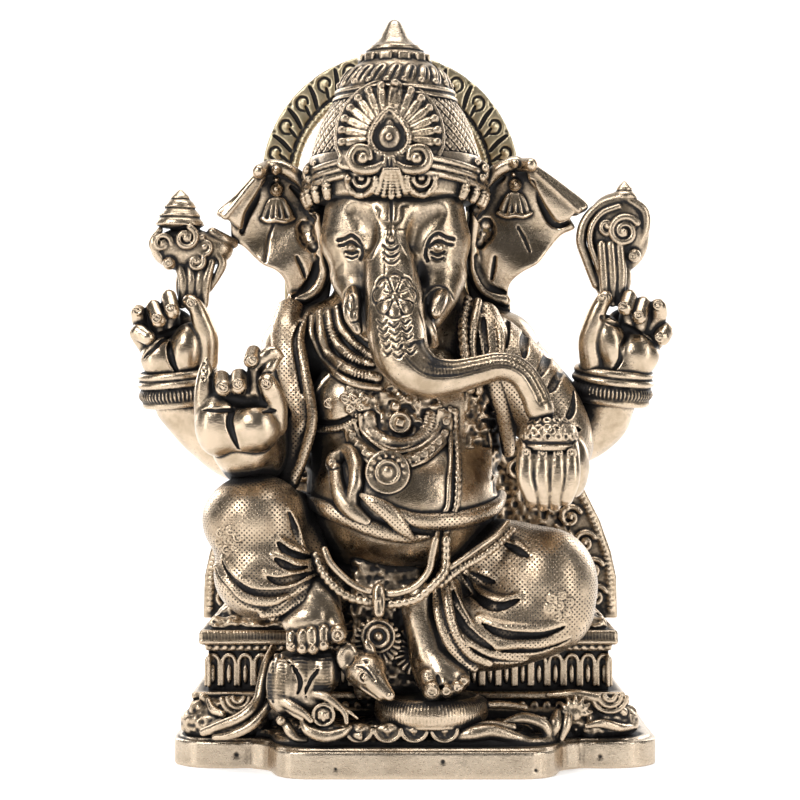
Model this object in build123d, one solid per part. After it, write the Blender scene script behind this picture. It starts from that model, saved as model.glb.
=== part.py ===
from build123d import *
import math
import os

# A seated four-armed Ganesha in brass, made as separate castings that are fitted and brazed together.
# Frame: +Z up, the figure faces -Y, origin at the middle of the footprint on the table. Millimetres.
# "right" and "left" are the figure's own hands, so the right side is at -X.

# ---- driving dimensions -------------------------------------------------------------------------
HEIGHT = 222.0  # table to the tip of the crown
REACH = 81.5  # middle to the outermost knuckle, each side
BASE_HALF_DEPTH = 46.0
BASE_HALF_WIDTH = 70.4
BASE_SHIFT = 4.4  # the base's middle is this far to the figure's left
BASE_T = 8.5
LOTUS_T = 5.0
SEAT_HALF_WIDTH = 61.0
SEAT_SHIFT = 2.0
SEAT_FRONT, SEAT_REAR = -15.0, 40.0
SEAT_BACK_T = 5.0
TIER_Z = (13.5, 20.5, 33.0, 40.0)  # bottom of the lower tier, arcade, seat slab, and the slab's top
CORE_HALF_WIDTH, CORE_REAR, CORE_FRONT = 52.0, 32.0, -9.0  # casting core, open underneath
CORE_TOP = 36.5
HALO_CENTRE = (-3.0, 174.0)
HALO_OUTER, HALO_INNER = 41.2, 28.2
HALO_FRONT, HALO_T = 26.0, 4.0
HEAD_CENTRE = (-1.5, -12.0, 149.0)
CROWN_X, CROWN_Y = -1.0, -5.0
FINIAL_X = -1.6
WALL = 4.0  # wall of the hollow body castings, whose cores stay sealed inside

os.makedirs("parts", exist_ok=True)
made = {}


def ellipsoid(centre, radii):
    return Pos(*centre) * scale(Sphere(1), by=radii)


def cone_between(a, b):
    """A truncated cone from a to b, each (x, y, z, radius)."""
    start, end = Vector(*a[:3]), Vector(*b[:3])
    run = end - start
    where = Plane(origin=start, z_dir=run)
    align = (Align.CENTER, Align.CENTER, Align.MIN)
    if abs(a[3] - b[3]) < 0.01:
        return where * Cylinder(a[3], run.length, align=align)
    return where * Cone(a[3], b[3], run.length, align=align)


def limb(*stations):
    """Balls at the stations, each (x, y, z, radius), joined by cones."""
    shape = Pos(*stations[0][:3]) * Sphere(stations[0][3])
    for a, b in zip(stations, stations[1:]):
        shape += cone_between(a, b)
        shape += Pos(*b[:3]) * Sphere(b[3])
    return shape


def tapered_tube(*stations):
    """A smooth tube lofted through circles that stand square to the line of stations."""
    points = [Vector(*s[:3]) for s in stations]
    sections = []
    for i, s in enumerate(stations):
        before, after = points[max(i - 1, 0)], points[min(i + 1, len(points) - 1)]
        sections.append(Plane(origin=points[i], z_dir=after - before) * Circle(s[3]))
    return loft(sections)


def plate(half_width, front, rear, bottom, top, radius, shift=0.0):
    """A flat slab with rounded corners."""
    middle = Pos(shift, (front + rear) / 2, bottom)
    return extrude(middle * RectangleRounded(2 * half_width, rear - front, radius), top - bottom)


def core(bottom, top):
    """The core space through the base and seat, a little narrower towards the top."""
    return plate(CORE_HALF_WIDTH, CORE_FRONT, CORE_REAR, bottom, top, 8, SEAT_SHIFT)


def keep(name, shape, *against):
    """Cuts the named neighbours out of shape, so that castings meet face to face, and stores it."""
    for other in against:
        shape = shape - made[other]
    solids = sorted(shape.solids(), key=lambda s: s.volume, reverse=True)
    made[name] = solids[0]
    return made[name]


# ---- base and seat ------------------------------------------------------------------------------
def base_outline():
    """Half of the lobed plan, from the rear middle round to the front middle."""
    w, d = BASE_HALF_WIDTH, BASE_HALF_DEPTH
    lobe_front, lobe_in = -22.0, 45.0
    rear = Polyline((0, d), (w - 6, d))
    rear_corner = ThreePointArc((w - 6, d), (w - 1.8, d - 1.8), (w, d - 6))
    side = Line((w, d - 6), (w, lobe_front + 10))
    corner = ThreePointArc((w, lobe_front + 10), (w - 3.5, lobe_front + 2.5), (w - 12, lobe_front - 2))
    ogee = Spline(
        (w - 12, lobe_front - 2),
        (lobe_in + 3, lobe_front - 4.5),
        (lobe_in - 2, lobe_front - 13),
        (lobe_in - 14, -d + 1.5),
        tangents=((-1, -0.1), (-1, -0.15)),
    )
    front = Spline((lobe_in - 14, -d + 1.5), (12, -d), (0, -d), tangents=((-1, -0.15), (-1, 0)))
    return [rear, rear_corner, side, corner, ogee, front]


def make_base():
    half = base_outline()
    other = [mirror(edge, about=Plane.YZ) for edge in half]
    face = make_face(Curve() + half + other)
    slab = extrude(Pos(BASE_SHIFT, 0, 0) * face, BASE_T)
    keep("base_plate", slab - core(0, BASE_T))

    low, high = BASE_T, BASE_T + LOTUS_T
    ground = plate(63, -16, 40, low, high, 10, BASE_SHIFT)
    ground += plate(38, -42, 0, low, high, 12, BASE_SHIFT)
    keep("lotus_plate", ground - core(low, high))


def make_seat():
    lower, arcade, slab, top = TIER_Z
    w = SEAT_HALF_WIDTH
    foot = plate(w + 3, SEAT_FRONT - 2, SEAT_REAR, lower, arcade, 4, SEAT_SHIFT)
    keep("seat_foot", foot - core(lower, arcade))
    wall = plate(w - 2.5, SEAT_FRONT + 2, SEAT_REAR - 2, arcade, slab, 2, SEAT_SHIFT)
    keep("seat_arcade", wall - core(arcade, slab))
    cushion = plate(w, SEAT_FRONT, SEAT_REAR, slab, top, 3, SEAT_SHIFT)
    keep("seat_slab", cushion - core(slab, CORE_TOP))


def make_seat_back():
    """The upright panel behind the figure, with two scrolled wings."""
    z = TIER_Z[-1]
    w = SEAT_HALF_WIDTH - 1
    outline = Polyline((-w, z), (w, z), (w, z + 24), (w - 6, z + 40), (w - 16, z + 52)) + Spline(
        (w - 16, z + 52), (20, z + 56), (0, z + 58), (-20, z + 56), (-w + 16, z + 52)
    ) + Polyline((-w + 16, z + 52), (-w + 6, z + 40), (-w, z + 24), (-w, z))
    upright = Plane(origin=(SEAT_SHIFT, SEAT_REAR - 3, 0), x_dir=(1, 0, 0), z_dir=(0, -1, 0))
    keep("seat_back", extrude(make_face(upright * outline), SEAT_BACK_T))


def make_corner_scroll(name, side):
    """A curled leaf where the seat meets the base, at one front corner."""
    x = SEAT_SHIFT + side * (SEAT_HALF_WIDTH - 12)
    bottom = BASE_T
    leaf = limb(
        (x, -18, bottom + 6, 6),
        (x + side * 12, -20, bottom + 5.5, 5.2),
        (x + side * 19, -18, bottom + 9, 4.2),
    )
    leaf = leaf & Pos(x, 0, bottom + 50) * Box(200, 200, 100)
    keep(name, leaf, "seat_foot", "lotus_plate")


def make_foot_cushion():
    on_end = (Align.CENTER, Align.CENTER, Align.MIN)
    cushion = Pos(9.5, -27.5, BASE_T + LOTUS_T) * Cylinder(16, 7.5, align=on_end)
    cushion = fillet(cushion.edges(), 3.2)
    keep("foot_cushion", cushion, "seat_foot")


# ---- body ---------------------------------------------------------------------------------------
def torso_shape(skin):
    """The body as three overlapping masses, each drawn in by skin."""
    body = ellipsoid((-1, -8, 80), (29.5 - skin, 27 - skin, 25 - skin))
    body += ellipsoid((-1, 1, 112), (33 - skin, 19 - skin, 25 - skin))
    body += ellipsoid((0, 6, 54), (36 - skin, 22 - skin, 20 - skin))
    return body - Pos(0, 0, TIER_Z[-1] + skin - 50) * Box(300, 300, 100)


def hollow_limb(*stations):
    """A limb with a sealed core."""
    inner = [(x, y, z, r - WALL) for x, y, z, r in stations]
    return limb(*stations) - limb(*inner)


def make_torso():
    keep("torso", torso_shape(0) - torso_shape(WALL), "seat_back")


def make_legs():
    seat = ("seat_slab", "seat_arcade", "seat_foot")
    right_thigh = hollow_limb((-19, 0, 57, 17), (-46, -22, 66, 16.5), (-33, -26, 50, 15))
    right_thigh -= torso_shape(0)
    keep("right_leg", right_thigh, "seat_back", *seat)
    right_foot = limb((-27, -25, 42, 9), (-24, -33, 39.5, 8), (-23, -40, 37, 4.5))
    right_foot -= limb((-46, -22, 66, 16.5), (-33, -26, 50, 15))
    keep("right_foot", right_foot, "torso", *seat)
    left_thigh = hollow_limb((19, 0, 55, 16), (49, -20, 54, 16), (26, -25, 46, 14))
    left_thigh -= torso_shape(0)
    keep("left_leg", left_thigh, "seat_back", *seat)
    left_foot = limb((9, -25, 48, 7.5), (10.5, -27, 30, 6.5), (12, -34, 26, 5), (13, -40, 24, 3))
    left_foot -= limb((49, -20, 54, 16), (26, -25, 46, 14))
    keep("left_foot", left_foot, "torso", "foot_cushion", *seat)
    drape = extrude(Pos(-5, -22, 22) * RectangleRounded(17, 8, 2), 34)
    keep("front_sash", drape, "torso", "left_leg", "right_leg", "left_foot", "right_foot", "seat_foot")


def make_mouse():
    body = ellipsoid((-27, -31, 23), (12, 9.5, 10.5)) + limb((-36, -30, 17, 5), (-22, -36, 16.5, 3.5))
    body = body - Pos(0, 0, BASE_T + LOTUS_T - 50) * Box(300, 300, 100)
    near = ("right_foot", "right_leg", "lotus_plate", "seat_foot", "seat_arcade", "front_sash")
    keep("mouse_body", body, *near)
    head = limb((-16, -36, 31, 6), (-9.5, -39, 28, 5.2), (-4, -41, 22.8, 2))
    keep("mouse_head", head, "mouse_body", "foot_cushion", "right_foot", "front_sash", "left_foot")


# ---- head and crown -----------------------------------------------------------------------------
def make_head():
    x, y, z = HEAD_CENTRE
    skull = ellipsoid((x, y, z + 1), (20, 20.5, 24)) + limb((x, 2, 130, 13), (x, 0, 142, 14))
    skull -= ellipsoid((x, y, z + 1), (20 - WALL, 20.5 - WALL, 24 - WALL))
    keep("head", skull, "torso")
    trunk = tapered_tube(
        (x, -23, 152, 8.5),
        (x - 1, -31, 141, 8.6),
        (x - 1, -36, 130, 8.4),
        (x, -38.6, 120, 7.6),
        (x + 6, -39.3, 113.5, 6.7),
        (x + 15, -39, 111.6, 5.8),
        (x + 24, -38.4, 113.4, 4.8),
        (x + 33, -38, 114.0, 4.2),
        (x + 40, -37, 109.5, 3.9),
        (x + 43, -36.5, 102.2, 3.9),
    )
    keep("trunk", trunk, "head", "torso")
    right_tusk = limb((x - 9, -31, 134, 3.2), (x - 10, -36, 126, 2.6))
    keep("right_tusk", right_tusk, "head", "trunk", "torso")
    left_tusk = limb((x + 10.5, -30, 135, 3.2), (x + 12.5, -35, 129, 2.2))
    keep("left_tusk", left_tusk, "head", "trunk", "torso")


def ear_outline(side):
    points = [
        (side * 17, 171), (side * 30, 176), (side * 42, 175), (side * 55.5, 165.5),
        (side * 51, 158), (side * 43, 151), (side * 37, 145), (side * 33, 137), (side * 24, 134),
    ]
    return Polyline(*points) + Polyline(points[-1], (side * 16, 140), points[0])


def make_ears():
    for name, side in (("right_ear", -1), ("left_ear", 1)):
        plane = Plane(origin=(0, 4, 0), x_dir=(1, 0, 0), z_dir=(0, -1, 0))
        keep(name, extrude(make_face(plane * ear_outline(side)), 6), "head", "torso")
        pendant = Pos(side * 34.5, -3.5, 169.5) * Sphere(2.2)
        pendant += Pos(side * 34.5, -3.0, 163.5) * Cone(3.8, 1.4, 9)
        keep(name + "_pendant", pendant, name)


def make_crown():
    x, y = CROWN_X, CROWN_Y
    dome = ellipsoid((x, y, 172), (27, 25, 27)) - ellipsoid((x, y, 172), (27 - WALL, 25 - WALL, 27 - WALL))
    dome = dome & Pos(x, y, 182.5) * Box(70, 70, 27)
    keep("crown_dome", dome, "head", "right_ear", "left_ear", "trunk")
    band = Pos(x, y, 166.5) * Cylinder(27.8, 5)
    near = ("head", "right_ear", "left_ear", "crown_dome", "trunk", "right_ear_pendant", "left_ear_pendant")
    keep("crown_band", band, *near)
    cap = Pos(x, y, 200) * Cone(18.5, 12, 8)
    keep("crown_cap", cap, "crown_dome")
    ring = Pos(x, y, 206.5) * Cylinder(11.2, 5)
    keep("crown_ring", ring, "crown_cap")
    tip_z = HEIGHT
    lip = Polyline((0, 209), (8.6, 209), (8.6, 210.8))
    slope = Spline((8.6, 210.8), (5.2, 214.5), (3.0, 219), (0, tip_z))
    profile = Plane.XZ * make_face(lip + slope + Line((0, tip_z), (0, 209)))
    finial = revolve(profile, Axis.Z)
    keep("crown_finial", Pos(FINIAL_X, y, 0) * finial)
    plume_plane = Plane(origin=(-3.0, y - 23.0, 172), x_dir=(1, 0, 0), z_dir=(0, -0.97, 0.24))
    fan = extrude(plume_plane * Circle(16.5), 5, both=True) & Pos(0, 0, 185) * Box(200, 200, 36)
    keep("crown_plume", fan, "crown_dome", "crown_band", "head", "crown_cap", "trunk")


def make_halo():
    """The flame arch behind the head, on two feet with lugs that reach the backs of the shoulders."""
    cx, cz = HALO_CENTRE
    plane = Plane(origin=(cx, HALO_FRONT, cz), x_dir=(1, 0, 0), z_dir=(0, 1, 0))
    ring = extrude(plane * (Circle(HALO_OUTER) - Circle(HALO_INNER)), HALO_T)
    ring_bottom, foot_z, lug_z = 158.0, 161.0, 122.0
    ring = ring & Pos(cx, HALO_FRONT, ring_bottom + 50) * Box(200, 40, 100)
    half_mid = (HALO_OUTER + HALO_INNER) / 2
    for side in (-1, 1):
        leg = Pos(cx + side * (half_mid - 6.6), HALO_FRONT + HALO_T / 2, (foot_z + lug_z - 6) / 2)
        ring += leg * Box(9, HALO_T, foot_z - lug_z + 6)
        lug = Pos(cx + side * (half_mid - 6.6), HALO_FRONT - 6, lug_z + 4)
        ring += lug * Box(9, 20, 12)
    keep("halo_arch", ring, "torso", "head", "seat_back", "crown_dome", "crown_band", "right_ear", "left_ear")


# ---- arms ---------------------------------------------------------------------------------------
def fist(side, x, y, z):
    """A palm with a thumb on the inner side and four curled fingers above it."""
    palm = ellipsoid((x, y, z), (11, 7, 12))
    thumb = limb(
        (x - side * 9.5, y - 2, z - 2, 3.2),
        (x - side * 7, y - 4, z + 9, 2.7),
        (x - side * 4.6, y - 4.5, z + 14, 2.2),
    )
    fingers = limb((x + side * 1.5, y - 5, z + 9, 2.2), (x + side * 1.5, y - 3, z + 17, 2.2))
    fingers += limb((x + side * 5.5, y - 6, z + 7, 2.2), (x + side * 6.0, y - 3, z + 14, 2.2))
    fingers += limb((x + side * 10, y - 7, z + 10, 2.4), (x + side * 10.5, y - 1, z + 10, 2.4))
    fingers += limb((x + side * 11, y - 7, z + 3, 2.6), (x + side * 12.5, y - 1, z + 3, 2.6))
    return palm + thumb + fingers


def make_back_arms():
    for name, side in (("right", -1), ("left", 1)):
        shoulder, elbow = (side * 31, 8, 120, 12), (side * 51, 6, 90, 9.5)
        wrist = (side * 65, -4, 108, 9.0)
        keep(f"{name}_back_arm", limb(shoulder, elbow, wrist), "torso", "seat_back", "halo_arch", "head")
        bangle_plane = Plane(origin=(side * 65.4, -4.5, 110.5), z_dir=(side * 0.12, -0.1, 1))
        bangle = bangle_plane * (Cylinder(12.6, 5.4) - Cylinder(9.2, 8))
        keep(f"{name}_back_bangle", bangle, f"{name}_back_arm")
        hand = fist(side, side * 66, -6, 123.5) & Pos(0, 0, 163) * Box(2 * REACH, 200, 100)
        keep(f"{name}_back_hand", hand, f"{name}_back_arm", f"{name}_back_bangle")
    goad = limb(
        (-66, -6, 136, 4.0),
        (-64, -4, 146, 6.5),
        (-65, -3, 153, 9.0),
        (-66, -3, 160, 6),
        (-66.4, -3, 167.2, 2.6),
    )
    keep("goad", goad, "right_back_hand", "right_ear")
    noose = limb(
        (64, -6, 137, 4.0),
        (62, -4, 147, 6.5),
        (64, -3, 157, 8.2),
        (67, -3, 163, 5.5),
        (67.4, -3, 168.4, 2.6),
    )
    keep("noose", noose, "left_back_hand", "left_ear")


def make_front_arms():
    near = ("torso", "right_back_arm", "left_back_arm", "right_leg", "left_leg", "seat_back")
    right = limb((-28, -3, 120, 11), (-39, -6, 93, 10.5), (-45, -28, 91, 10))
    keep("right_front_arm", right, *near)
    hand = ellipsoid((-46, -36, 97), (11.5, 7.5, 11)) + limb((-38.5, -40, 98, 2.8), (-37, -41, 110, 2.3))
    for x, top in ((-54.5, 118), (-50, 114), (-45, 115), (-41.5, 121)):
        hand += limb((x, -39, 104, 2.3), (x + 0.4, -39, top - 2, 2.0))
    keep("right_front_hand", hand, "right_front_arm", "right_leg", "right_back_bangle", "right_back_arm")
    left = limb((28, -3, 120, 11), (42, -4, 96, 10), (45, -26, 91, 9))
    keep("left_front_arm", left, *near)
    hand = ellipsoid((44, -33, 84.5), (10.5, 8.5, 10))
    for i in range(4):
        x = 36.2 + 4.8 * i
        hand += limb((x, -40, 92, 2.5), (x, -41, 84, 2.5), (x, -39, 77, 2.3))
    keep("left_front_hand", hand, "left_front_arm", "left_leg", "left_back_arm", "trunk")
    sweets = ellipsoid((42.5, -37, 94.5), (8.6, 7.5, 6.5)) & Pos(42, -37, 144) * Box(60, 60, 100)
    keep("sweet_dish", sweets, "left_front_hand", "left_front_arm", "trunk")


# ---- cloth and jewels ---------------------------------------------------------------------------
def make_ornaments():
    for name, side in (("right_shawl", -1), ("left_shawl", 1)):
        fall = limb((side * 22, -10, 130, 6), (side * 26, -16, 112, 5), (side * 24, -20, 92, 4))
        word = name.removesuffix("_shawl")
        keep(name, fall, "torso", "head", "trunk", f"{word}_front_arm", f"{word}_front_hand")
    necklace = tapered_tube(
        (-17, -17, 128, 2.2),
        (-10, -22, 115, 2.2),
        (-1, -25, 108, 2.2),
        (8, -22, 115, 2.2),
        (15, -17, 128, 2.2),
    )
    near = ("torso", "head", "trunk", "right_tusk", "left_tusk", "right_shawl", "left_shawl")
    keep("necklace", necklace, *near)
    across = Plane(origin=(-3.6, -33, 85.5), z_dir=(0, -1, 0.1))
    keep("chest_medallion", across * Cylinder(6.8, 9), "torso")
    drop = Plane(origin=(0.2, -23, 103), z_dir=(0, -1, -0.15))
    keep("neck_pendant", drop * Cylinder(4, 12), "torso", "necklace", "trunk", "chest_medallion")
    coil = limb(
        (-27, -22, 76, 3),
        (-18, -31, 72.5, 3.2),
        (-4, -35, 69.5, 3.4),
        (10, -34, 70.5, 3.2),
        (22, -28, 74, 3),
    )
    near = ("torso", "right_leg", "left_leg", "chest_medallion")
    keep("serpent_belt", coil, *near)
    hood = limb((-17, -31, 78, 2.6), (-19, -31, 86, 2.6), (-14, -33, 89.5, 3.0))
    keep("serpent_head", hood, "serpent_belt", "torso", "chest_medallion", "right_shawl", "necklace")
    knot = Pos(-3.5, -30, 54.5) * Cylinder(1.8, 9)
    keep("girdle_knot", knot, "torso", "front_sash", "right_leg", "left_leg", "left_foot")


make_base()
make_seat()
make_seat_back()
make_foot_cushion()
make_torso()
make_legs()
make_mouse()
make_corner_scroll("right_scroll", -1)
make_corner_scroll("left_scroll", 1)
make_head()
make_ears()
make_crown()
make_halo()
make_back_arms()
make_front_arms()
make_ornaments()

for node, solid in made.items():
    export_step(solid, f"parts/{node}.step")
print(len(made), "castings")
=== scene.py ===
import math

import bpy
import numpy as np
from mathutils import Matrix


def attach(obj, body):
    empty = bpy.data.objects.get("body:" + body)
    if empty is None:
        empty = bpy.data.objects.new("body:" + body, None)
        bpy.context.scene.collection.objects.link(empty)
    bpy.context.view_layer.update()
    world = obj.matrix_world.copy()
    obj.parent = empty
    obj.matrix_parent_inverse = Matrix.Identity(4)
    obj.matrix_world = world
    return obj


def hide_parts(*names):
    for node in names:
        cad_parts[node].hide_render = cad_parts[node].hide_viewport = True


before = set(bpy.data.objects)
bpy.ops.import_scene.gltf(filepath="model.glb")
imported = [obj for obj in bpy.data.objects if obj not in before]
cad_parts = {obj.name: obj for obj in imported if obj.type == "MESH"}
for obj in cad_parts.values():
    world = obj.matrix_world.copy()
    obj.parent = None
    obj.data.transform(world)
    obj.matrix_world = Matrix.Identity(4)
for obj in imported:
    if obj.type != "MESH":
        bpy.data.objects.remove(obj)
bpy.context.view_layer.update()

import openvdb as vdb
from mathutils import Vector

MM = 0.001
STEP = 0.38  # grid step of the sculpted pieces, mm
FAR = 3.0  # distances further than this from a surface are not kept, mm


# ---- camera -------------------------------------------------------------------------------------
EYE = (0.0, -650.0, 106.0)
LENS, SENSOR = 97.5, 36.0


def make_camera():
    data = bpy.data.cameras.new("camera")
    data.lens, data.sensor_width = LENS, SENSOR
    data.dof.use_dof = False
    camera = bpy.data.objects.new("camera", data)
    camera.location = [v * MM for v in EYE]
    camera.rotation_euler = (math.pi / 2, 0, 0)
    bpy.context.collection.objects.link(camera)
    bpy.context.scene.camera = camera


# ---- sculpting ----------------------------------------------------------------------------------
def smooth_min(a, b, k):
    if k <= 0:
        return np.minimum(a, b)
    h = np.maximum(k - np.abs(a - b), 0) / k
    return np.minimum(a, b) - h * h * k * 0.25


def smooth_max(a, b, k):
    return -smooth_min(-a, -b, k)


def spline(points, step=1.0):
    """A smooth curve through the points, with samples about step apart."""
    p = np.array(points, float)
    p = np.vstack([2 * p[0] - p[1], p, 2 * p[-1] - p[-2]])
    out = []
    for a, b, c, d in zip(p, p[1:], p[2:], p[3:]):
        n = max(2, int(np.linalg.norm((c - b)[:3]) / step) + 1)
        t = np.linspace(0, 1, n, endpoint=False)[:, None]
        square, cube = 2 * a - 5 * b + 4 * c - d, 3 * b - a - 3 * c + d
        out.append(0.5 * (2 * b + (c - a) * t + square * t**2 + cube * t**3))
    return np.vstack(out + [p[-2:-1]])


def loop(points, step):
    """A smooth closed outline through the points."""
    p = list(points)
    long = spline(p[-2:] + p + p[:2], step)
    d = np.linalg.norm(long - np.array(p[0]), axis=1)
    first = int(np.argmin(d[: len(long) // 2]))
    last = len(long) // 2 + int(np.argmin(d[len(long) // 2 :]))
    return long[first:last]


def unit(v):
    v = np.array(v, float)
    return v / np.linalg.norm(v)


def aimed(along, front=(0, -1, 0)):
    """Rows are the side, front and long directions of a piece that points along one direction."""
    a = unit(along)
    f = np.array(front, float)
    f = f - a * f.dot(a)
    if np.linalg.norm(f) < 1e-6:
        f = np.array([1.0, 0, 0]) - a * a[0]
    f = unit(f)
    return np.array([np.cross(f, a), f, a])


def local(p, centre, turn):
    x, y, z = (q - c for q, c in zip(p, centre))
    if turn is None:
        return x, y, z
    return [x * r[0] + y * r[1] + z * r[2] for r in turn]


def ball(centre, radii, along=None, front=(0, -1, 0)):
    """An ellipsoid. With along, radii are (across, front to back, lengthwise)."""
    centre = np.array(centre, float)
    radii = np.array(np.broadcast_to(radii, 3), float)
    turn = None if along is None else aimed(along, front)
    reach = radii if turn is None else np.full(3, radii.max())

    def distance(*p):
        u, v, w = local(p, centre, turn)
        u, v, w = u / radii[0], v / radii[1], w / radii[2]
        q = np.sqrt(u * u + v * v + w * w)
        g = np.sqrt((u / radii[0]) ** 2 + (v / radii[1]) ** 2 + (w / radii[2]) ** 2)
        return q * (q - 1) / (g + 1e-5)

    return distance, centre - reach, centre + reach


def block(centre, half, edge, along=None, front=(0, -1, 0)):
    """A box with rounded edges. half is half its size across, front to back and lengthwise."""
    centre = np.array(centre, float)
    half = np.array(half, float)
    turn = None if along is None else aimed(along, front)
    reach = half if turn is None else np.full(3, np.linalg.norm(half))

    def distance(*p):
        q = [np.abs(c) - (s - edge) for c, s in zip(local(p, centre, turn), half)]
        outside = np.sqrt(sum(np.maximum(c, 0) ** 2 for c in q))
        inside = np.minimum(np.maximum(np.maximum(q[0], q[1]), q[2]), 0)
        return outside + inside - edge

    return distance, centre - reach, centre + reach


def disc(centre, radius, half, edge, axis=(0, -1, 0)):
    """A round coin with rounded edges, standing across axis."""
    centre = np.array(centre, float)
    turn = aimed(axis, (0, 0, 1) if abs(unit(axis)[2]) < 0.9 else (0, -1, 0))
    reach = np.full(3, max(radius, half))

    def distance(*p):
        u, v, w = local(p, centre, turn)
        a = np.sqrt(u * u + v * v) - (radius - edge)
        b = np.abs(w) - (half - edge)
        return np.minimum(np.maximum(a, b), 0) + np.hypot(np.maximum(a, 0), np.maximum(b, 0)) - edge

    return distance, centre - reach, centre + reach


def ring(centre, radius, thick, axis=(0, -1, 0)):
    """A torus round axis."""
    centre = np.array(centre, float)
    turn = aimed(axis, (0, 0, 1) if abs(unit(axis)[2]) < 0.9 else (0, -1, 0))
    reach = np.full(3, radius + thick)

    def distance(*p):
        u, v, w = local(p, centre, turn)
        return np.hypot(np.sqrt(u * u + v * v) - radius, w) - thick

    return distance, centre - reach, centre + reach


def turned(centre, profile, axis=(0, 0, 1), squash=1.0):
    """A turned shape: profile is (height, radius) pairs up the axis; squash flattens it in depth."""
    centre = np.array(centre, float)
    heights, radii = (np.array(v, float) for v in zip(*profile))
    turn = aimed(axis)
    slope = 0.75
    size = max(radii.max() / min(squash, 1), np.abs(heights).max())
    reach = np.full(3, size)

    def distance(*p):
        u, v, w = local(p, centre, turn)
        v = v / squash
        r = np.sqrt(u * u + v * v)
        edge = np.interp(w, heights, radii).astype(np.float32)
        side = (r - edge) * slope
        return np.maximum(side, np.maximum(heights[0] - w, w - heights[-1]))

    return distance, centre - reach, centre + reach


def outline_distance(outline, u, v):
    """Signed distance in the plane from each grid point to a closed outline."""
    best = np.full(np.broadcast_shapes(u.shape, v.shape), 1e9, np.float32)
    inside = np.zeros(best.shape, bool)
    for (a, b), (c, d) in zip(outline, np.roll(outline, -1, 0)):
        e, f = c - a, d - b
        t = np.clip(((u - a) * e + (v - b) * f) / (e * e + f * f + 1e-9), 0, 1)
        best = np.minimum(best, np.hypot(u - a - t * e, v - b - t * f))
        if d != b:
            crosses = ((v >= b) != (v >= d)) & (u < a + (v - b) / (d - b) * e)
            inside ^= crosses
    return np.where(inside, -best, best)


def plate(outline, low, high, edge):
    """An upright-sided slab over an outline in x and y, from z low to high."""
    outline = np.array(outline, float)

    def distance(x, y, z):
        flat = outline_distance(outline, x[:, :, 0], y[:, :, 0])[:, :, None]
        return smooth_max(flat, np.abs(z - (low + high) / 2) - (high - low) / 2, edge)

    a, b = outline.min(0), outline.max(0)
    return distance, np.array([a[0], a[1], low]), np.array([b[0], b[1], high])


def sheet(outline, middle, half, edge):
    """A sheet over an outline in x and z. middle(x, z) is its mid depth, half its half thickness."""
    outline = np.array(outline, float)
    a, b = outline.min(0), outline.max(0)
    probes = [(x, z) for x in (a[0], b[0]) for z in (a[1], b[1])] + [tuple((a + b) / 2)]
    mids = [float(middle(x, z)) for x, z in probes]

    def distance(x, y, z):
        flat = outline_distance(outline, x[:, 0, :], z[:, 0, :])[:, None, :]
        return smooth_max(flat, np.abs(y - middle(x, z)) - half, edge)

    near, far = min(mids) - half - 3, max(mids) + half + 3
    return distance, np.array([a[0], near, a[1]]), np.array([b[0], far, b[1]])


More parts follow.
